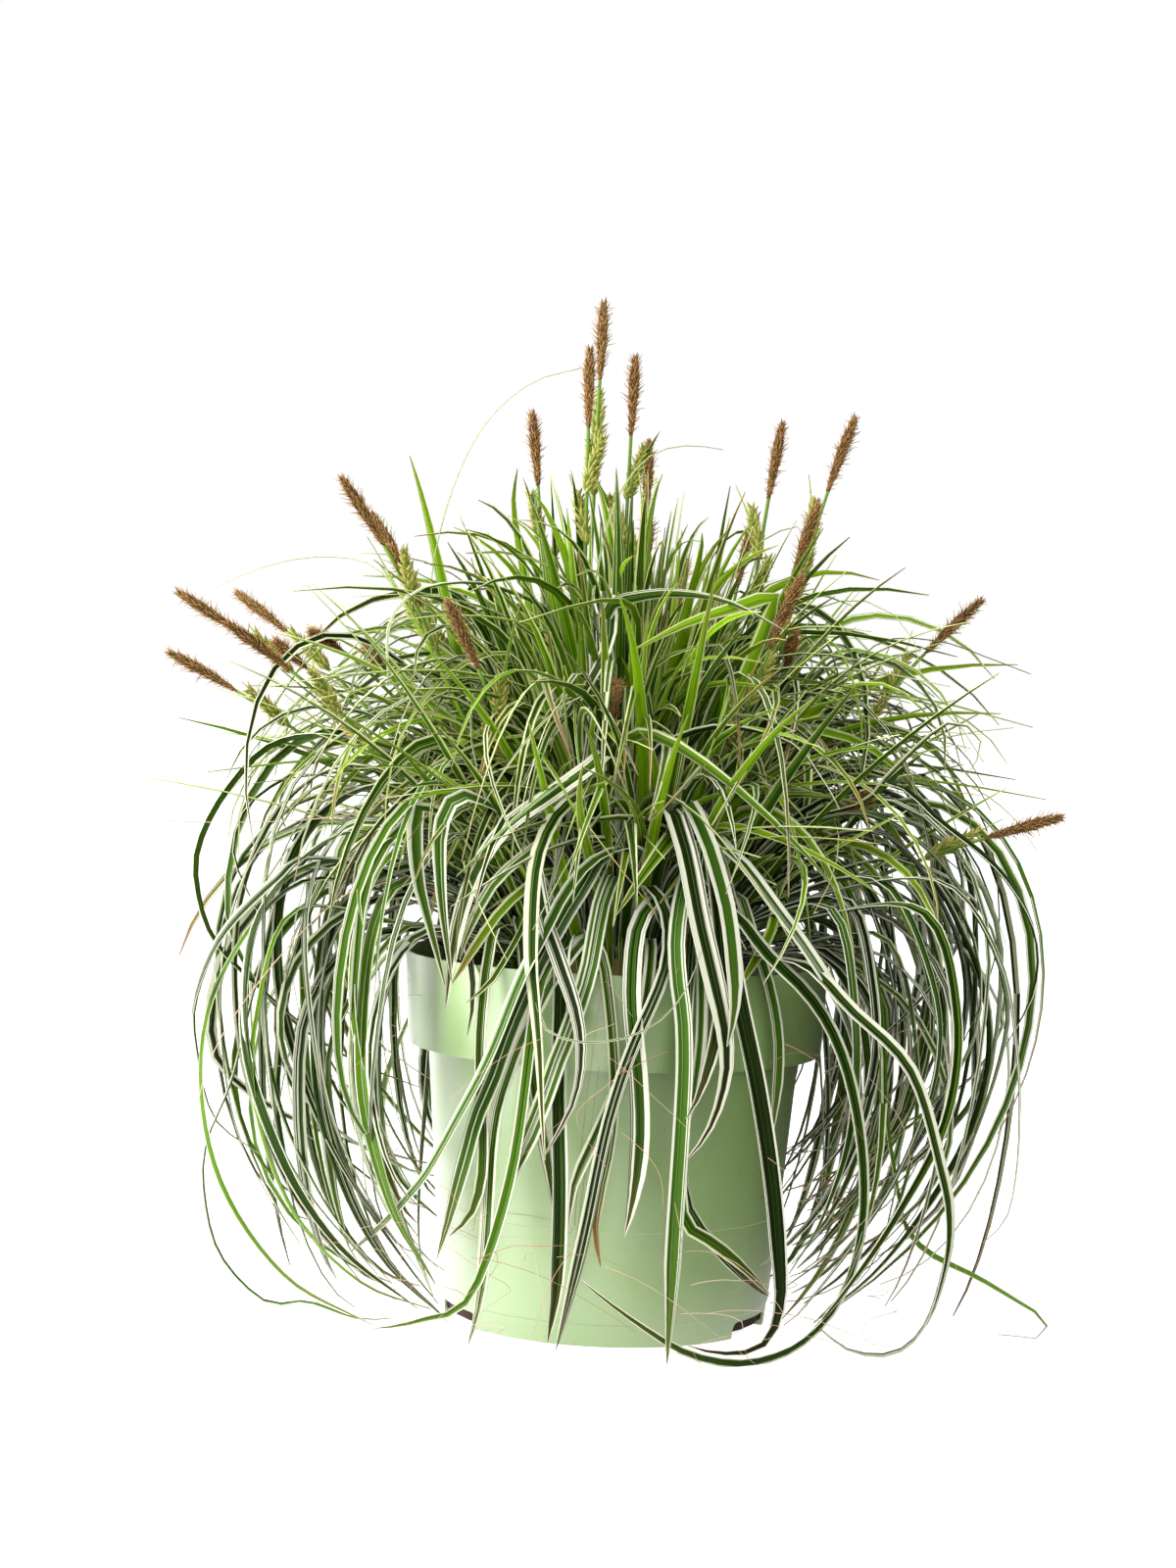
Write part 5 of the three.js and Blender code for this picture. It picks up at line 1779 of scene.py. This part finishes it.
def is_sharp_ring(edge, least=math.radians(20)):
    a, b = edge.verts
    level = abs(a.co.z - b.co.z) < 1e-4 and abs(a.co.xy.length - b.co.xy.length) < 1e-3
    return level and len(edge.link_faces) == 2 and edge.calc_face_angle() > least


def spun_pot():
    bm = bmesh.new()
    wire = [bm.verts.new((radius, 0, height)) for radius, height in pot_section()]
    edges = [bm.edges.new(pair) for pair in zip(wire, wire[1:])]
    turn = {"cent": (0, 0, 0), "axis": (0, 0, 1), "angle": 2 * math.pi, "steps": POT_STEPS}
    bmesh.ops.spin(bm, geom=wire + edges, use_merge=True, **turn)
    bmesh.ops.remove_doubles(bm, verts=bm.verts, dist=1e-3)
    bmesh.ops.recalc_face_normals(bm, faces=bm.faces)
    sharp = [edge for edge in bm.edges if is_sharp_ring(edge)]
    bevel = {"offset": 0.55, "segments": 3, "profile": 0.5, "material": -1, "affect": "EDGES"}
    bmesh.ops.bevel(bm, geom=sharp, offset_type="OFFSET", clamp_overlap=True, **bevel)
    return bm


print("pot section:", len(pot_section()), "corners")


# %% Pot with its arches
def arch_block(angle):
    """A block as wide as one arch, with the corners of its top rounded."""
    bm = bmesh.new()
    depth = BASE_RADIUS + 12 - ARCHES["inner"]
    width = 2 * BASE_RADIUS * math.sin(math.radians(ARCHES["spread"] / 2))
    height = 2 * ARCHES["height"]
    bmesh.ops.create_cube(bm, size=1.0, matrix=Matrix.Diagonal((depth, width, height, 1)))
    top = [edge for edge in bm.edges if all(vert.co.z > 0 for vert in edge.verts)]
    top = [edge for edge in top if abs(edge.verts[0].co.y - edge.verts[1].co.y) < 1e-6]
    bevel = {"offset": 3.5, "segments": 5, "profile": 0.5, "material": -1, "affect": "EDGES"}
    bmesh.ops.bevel(bm, geom=top, offset_type="OFFSET", clamp_overlap=True, **bevel)
    bmesh.ops.translate(bm, vec=(ARCHES["inner"] + depth / 2, 0, 0), verts=bm.verts)
    bmesh.ops.rotate(bm, matrix=Matrix.Rotation(math.radians(angle), 3, "Z"), verts=bm.verts)
    return bm


def to_object(name, bm):
    mesh = bpy.data.meshes.new(name)
    bm.to_mesh(mesh)
    bm.free()
    thing = bpy.data.objects.new(name, mesh)
    scene.collection.objects.link(thing)
    return thing


def cut_pot():
    """The spun pot less its four arches, as a bmesh."""
    pot = to_object("pot_blank", spun_pot())
    blocks = [to_object(f"arch_{angle}", arch_block(angle)) for angle in ARCHES["angles"]]
    for block in blocks:
        cut = pot.modifiers.new(block.name, "BOOLEAN")
        cut.operation = "DIFFERENCE"
        cut.solver = "EXACT"
        cut.object = block
    bm = bmesh.new()
    bm.from_object(pot, bpy.context.evaluated_depsgraph_get())
    for thing in (pot, *blocks):
        bpy.data.objects.remove(thing)
    return bm


def pot_finish():
    coat = {"Coat_Weight": 1.0, "Coat_Roughness": 0.45, "Coat_IOR": 2.0}
    finish = Finish("sage_plastic", Specular_IOR_Level=0.9, **coat)
    place = finish.places("Object")
    cloud = finish.noise(place, 18.0, detail=3.0)
    specks = finish.ease(finish.noise(place, 420.0, detail=1.0), 0.70, 0.76)
    body = finish.mix(cloud, paint("#7f9e55"), paint("#8ba963"))
    height = finish.node("ShaderNodeSeparateXYZ", {0: place}).outputs[2]
    dusty = finish.math("MULTIPLY", finish.ease(height, 0.03, 0.0), finish.ease(cloud, 0.35, 0.65))
    body = finish.mix(finish.math("MULTIPLY", dusty, 0.25), body, paint("#8f9473"))
    finish.colour(finish.mix(finish.math("MULTIPLY", specks, 0.35), body, paint("#6f7a55")))
    grain = finish.noise(place, 1800.0, detail=1.0)
    finish.bump(grain, 0.00006, 0.5)
    finish.join(finish.ease(cloud, 0.2, 0.8, 0.38, 0.5), finish.shader.inputs["Roughness"])
    return finish.material


pot = make_piece("pot_shell", cut_pot(), pot_finish(), "pot", "pot")
pot.data.set_sharp_from_angle(angle=math.radians(35))
print("pot:", len(pot.data.polygons), "faces")

# %% [markdown]
# ## The soil
# Peaty compost is nearly black, rough and crumbly, with pale root ends and dead leaf bits on it.
# The frame's soil keeps its shape and gets a rough finish, and a few hundred crumbs lie on it.
# A crumb is an icosphere of twenty faces, pressed and turned a different way each time.

# %% Soil
CRUMBS = 620
SOIL_TOP = {"middle": 150.0, "edge": 146.0, "flat_to": 60.0, "reach": 90.5}


def soil_finish():
    finish = Finish("compost", Roughness=0.95)
    place = finish.places("Object")
    clods = finish.noise(place, 160.0, detail=6.0, roughness=0.7)
    brown = finish.mix(clods, paint("#120d0a"), paint("#4a3526"))
    fibre = finish.ease(finish.noise(place, 700.0, detail=2.0), 0.66, 0.72)
    finish.colour(finish.mix(finish.math("MULTIPLY", fibre, 0.6), brown, paint("#7d5f42")))
    finish.bump(clods, 0.003, 0.9)
    return finish.material


def soil_height(reach):
    fall = np.clip((reach - SOIL_TOP["flat_to"]) / (SOIL_TOP["reach"] - SOIL_TOP["flat_to"]), 0, 1)
    return mix(SOIL_TOP["middle"], SOIL_TOP["edge"], fall)


soil_material = soil_finish()
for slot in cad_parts["soil"].material_slots:
    slot.material = soil_material

bm = bmesh.new()
draw = Draw(8000)
for _ in range(CRUMBS):
    reach = SOIL_TOP["reach"] * math.sqrt(draw.next())
    size = 0.5 + 2.2 * draw.next() ** 3
    place = on_plant(np.array([reach]), np.array([draw.between(0, 360)]), soil_height(reach) + 0.3 * size)[0]
    heading = (draw.around(1), draw.around(1), 0.8)
    shape = pointing(place, heading, 0.7 * size, size, draw.between(0.6, 1.0) * size)
    bmesh.ops.create_icosphere(bm, subdivisions=1, radius=1.0, matrix=shape)
make_piece("compost_crumbs", bm, soil_material, "soil")
print("crumbs:", CRUMBS)

# %% [markdown]
# ## Dry threads
# Old blades end in curled brown threads, and many have dropped to the pot's foot. Each is a thin
# tube that starts at a place round the pot, runs in a curl and sinks towards the floor. Two long
# ones reach far out at the left, and are set by picture points like the long blades.

# %% Threads
THREADS = {
    "at_foot": {
        "count": 76, "reach": (84, 140), "height": (1, 60), "aside": 90, "swing": 90,
        "climb": (-12, 30), "length": (30, 110), "curl": 700,
    },
    "hanging": {
        "count": 64, "reach": (104, 160), "height": (30, 150), "aside": 0, "swing": 160,
        "climb": (-60, 30), "length": (20, 80), "curl": 480,
    },
    "on_soil": {
        "count": 40, "reach": (52, 84), "height": (149, 153), "aside": 0, "swing": 120,
        "climb": (0, 30), "length": (10, 30), "curl": 200, "lowest": 149,
    },
}
THREAD_RADII = {"foot": (0.12, 0.2), "tip": 0.08}
THREADS_REACH = 172.0
THREAD_STEPS = 12
THREAD_ROWS = 16
FAR_RADII = (0.45, 0.15)
FAR_THREADS = [
    [(400, 810, 118), (374, 828, 128), (307, 837, 152), (234, 839, 182), (170, 837, 208), (112, 826, 230)],
    [(380, 900, 120), (300, 960, 150), (215, 1080, 190), (200, 1200, 196), (225, 1300, 188)],
]


def thread_finish():
    finish = Finish("dry_thread", Roughness=0.7, Specular_IOR_Level=0.1)
    finish.colour(finish.mix(finish.value("tint"), paint("#a0715a"), paint("#d6b59c")))
    finish.bump(finish.noise(finish.places("Object"), 900.0), 0.0002, 0.4)
    return finish.material


def thread_line(draw, place, azimuth, climb, length, curl):
    """A curve that starts at a place and turns steadily, with a slow wobble."""
    heading, points, phase = azimuth, [place], draw.between(0, 6.28)
    stride = length / THREAD_STEPS
    for step in range(THREAD_STEPS):
        heading += curl * (0.6 + 0.8 * math.sin(phase + step * 0.5)) / THREAD_STEPS
        move = on_plant(np.array([stride]), np.array([heading]), stride * math.sin(math.radians(climb)))[0]
        climb -= draw.between(0, 9)
        points.append(points[-1] + move)
    line = smooth_line(points, THREAD_ROWS)
    line[:, 2] = np.maximum(line[:, 2], 0.6)
    reach = np.hypot(line[:, 0], line[:, 1])
    line[:, :2] *= (np.minimum(reach, THREADS_REACH) / reach)[:, None]
    return clear_of_pot(line, 1.2)


bm, layers = new_growth("tint")
draw = Draw(8800)
for kind in THREADS.values():
    for _ in range(kind["count"]):
        around = draw.between(0, 360)
        reach = np.array([draw.between(*kind["reach"])])
        place = on_plant(reach, np.array([around]), draw.between(*kind["height"]))[0]
        azimuth = around + kind["aside"] + draw.around(kind["swing"])
        climb = draw.between(*kind["climb"])
        length = draw.between(*kind["length"])
        line = thread_line(draw, place, azimuth, climb, length, draw.around(kind["curl"]))
        line[:, 2] = np.maximum(line[:, 2], kind.get("lowest", 0))
        radii = np.linspace(draw.between(*THREAD_RADII["foot"]), THREAD_RADII["tip"], len(line))
        add_tube(bm, line, radii, 3, {layers["tint"]: draw.next()})
for points in FAR_THREADS:
    line = clear_of_pot(long_line(points), LONG_OFF_WALL)
    add_tube(bm, line, np.linspace(*FAR_RADII, len(line)), 3, {layers["tint"]: 0.8})
make_piece("dry_threads", bm, thread_finish(), "leaf")
print("threads:", sum(kind["count"] for kind in THREADS.values()) + len(FAR_THREADS))
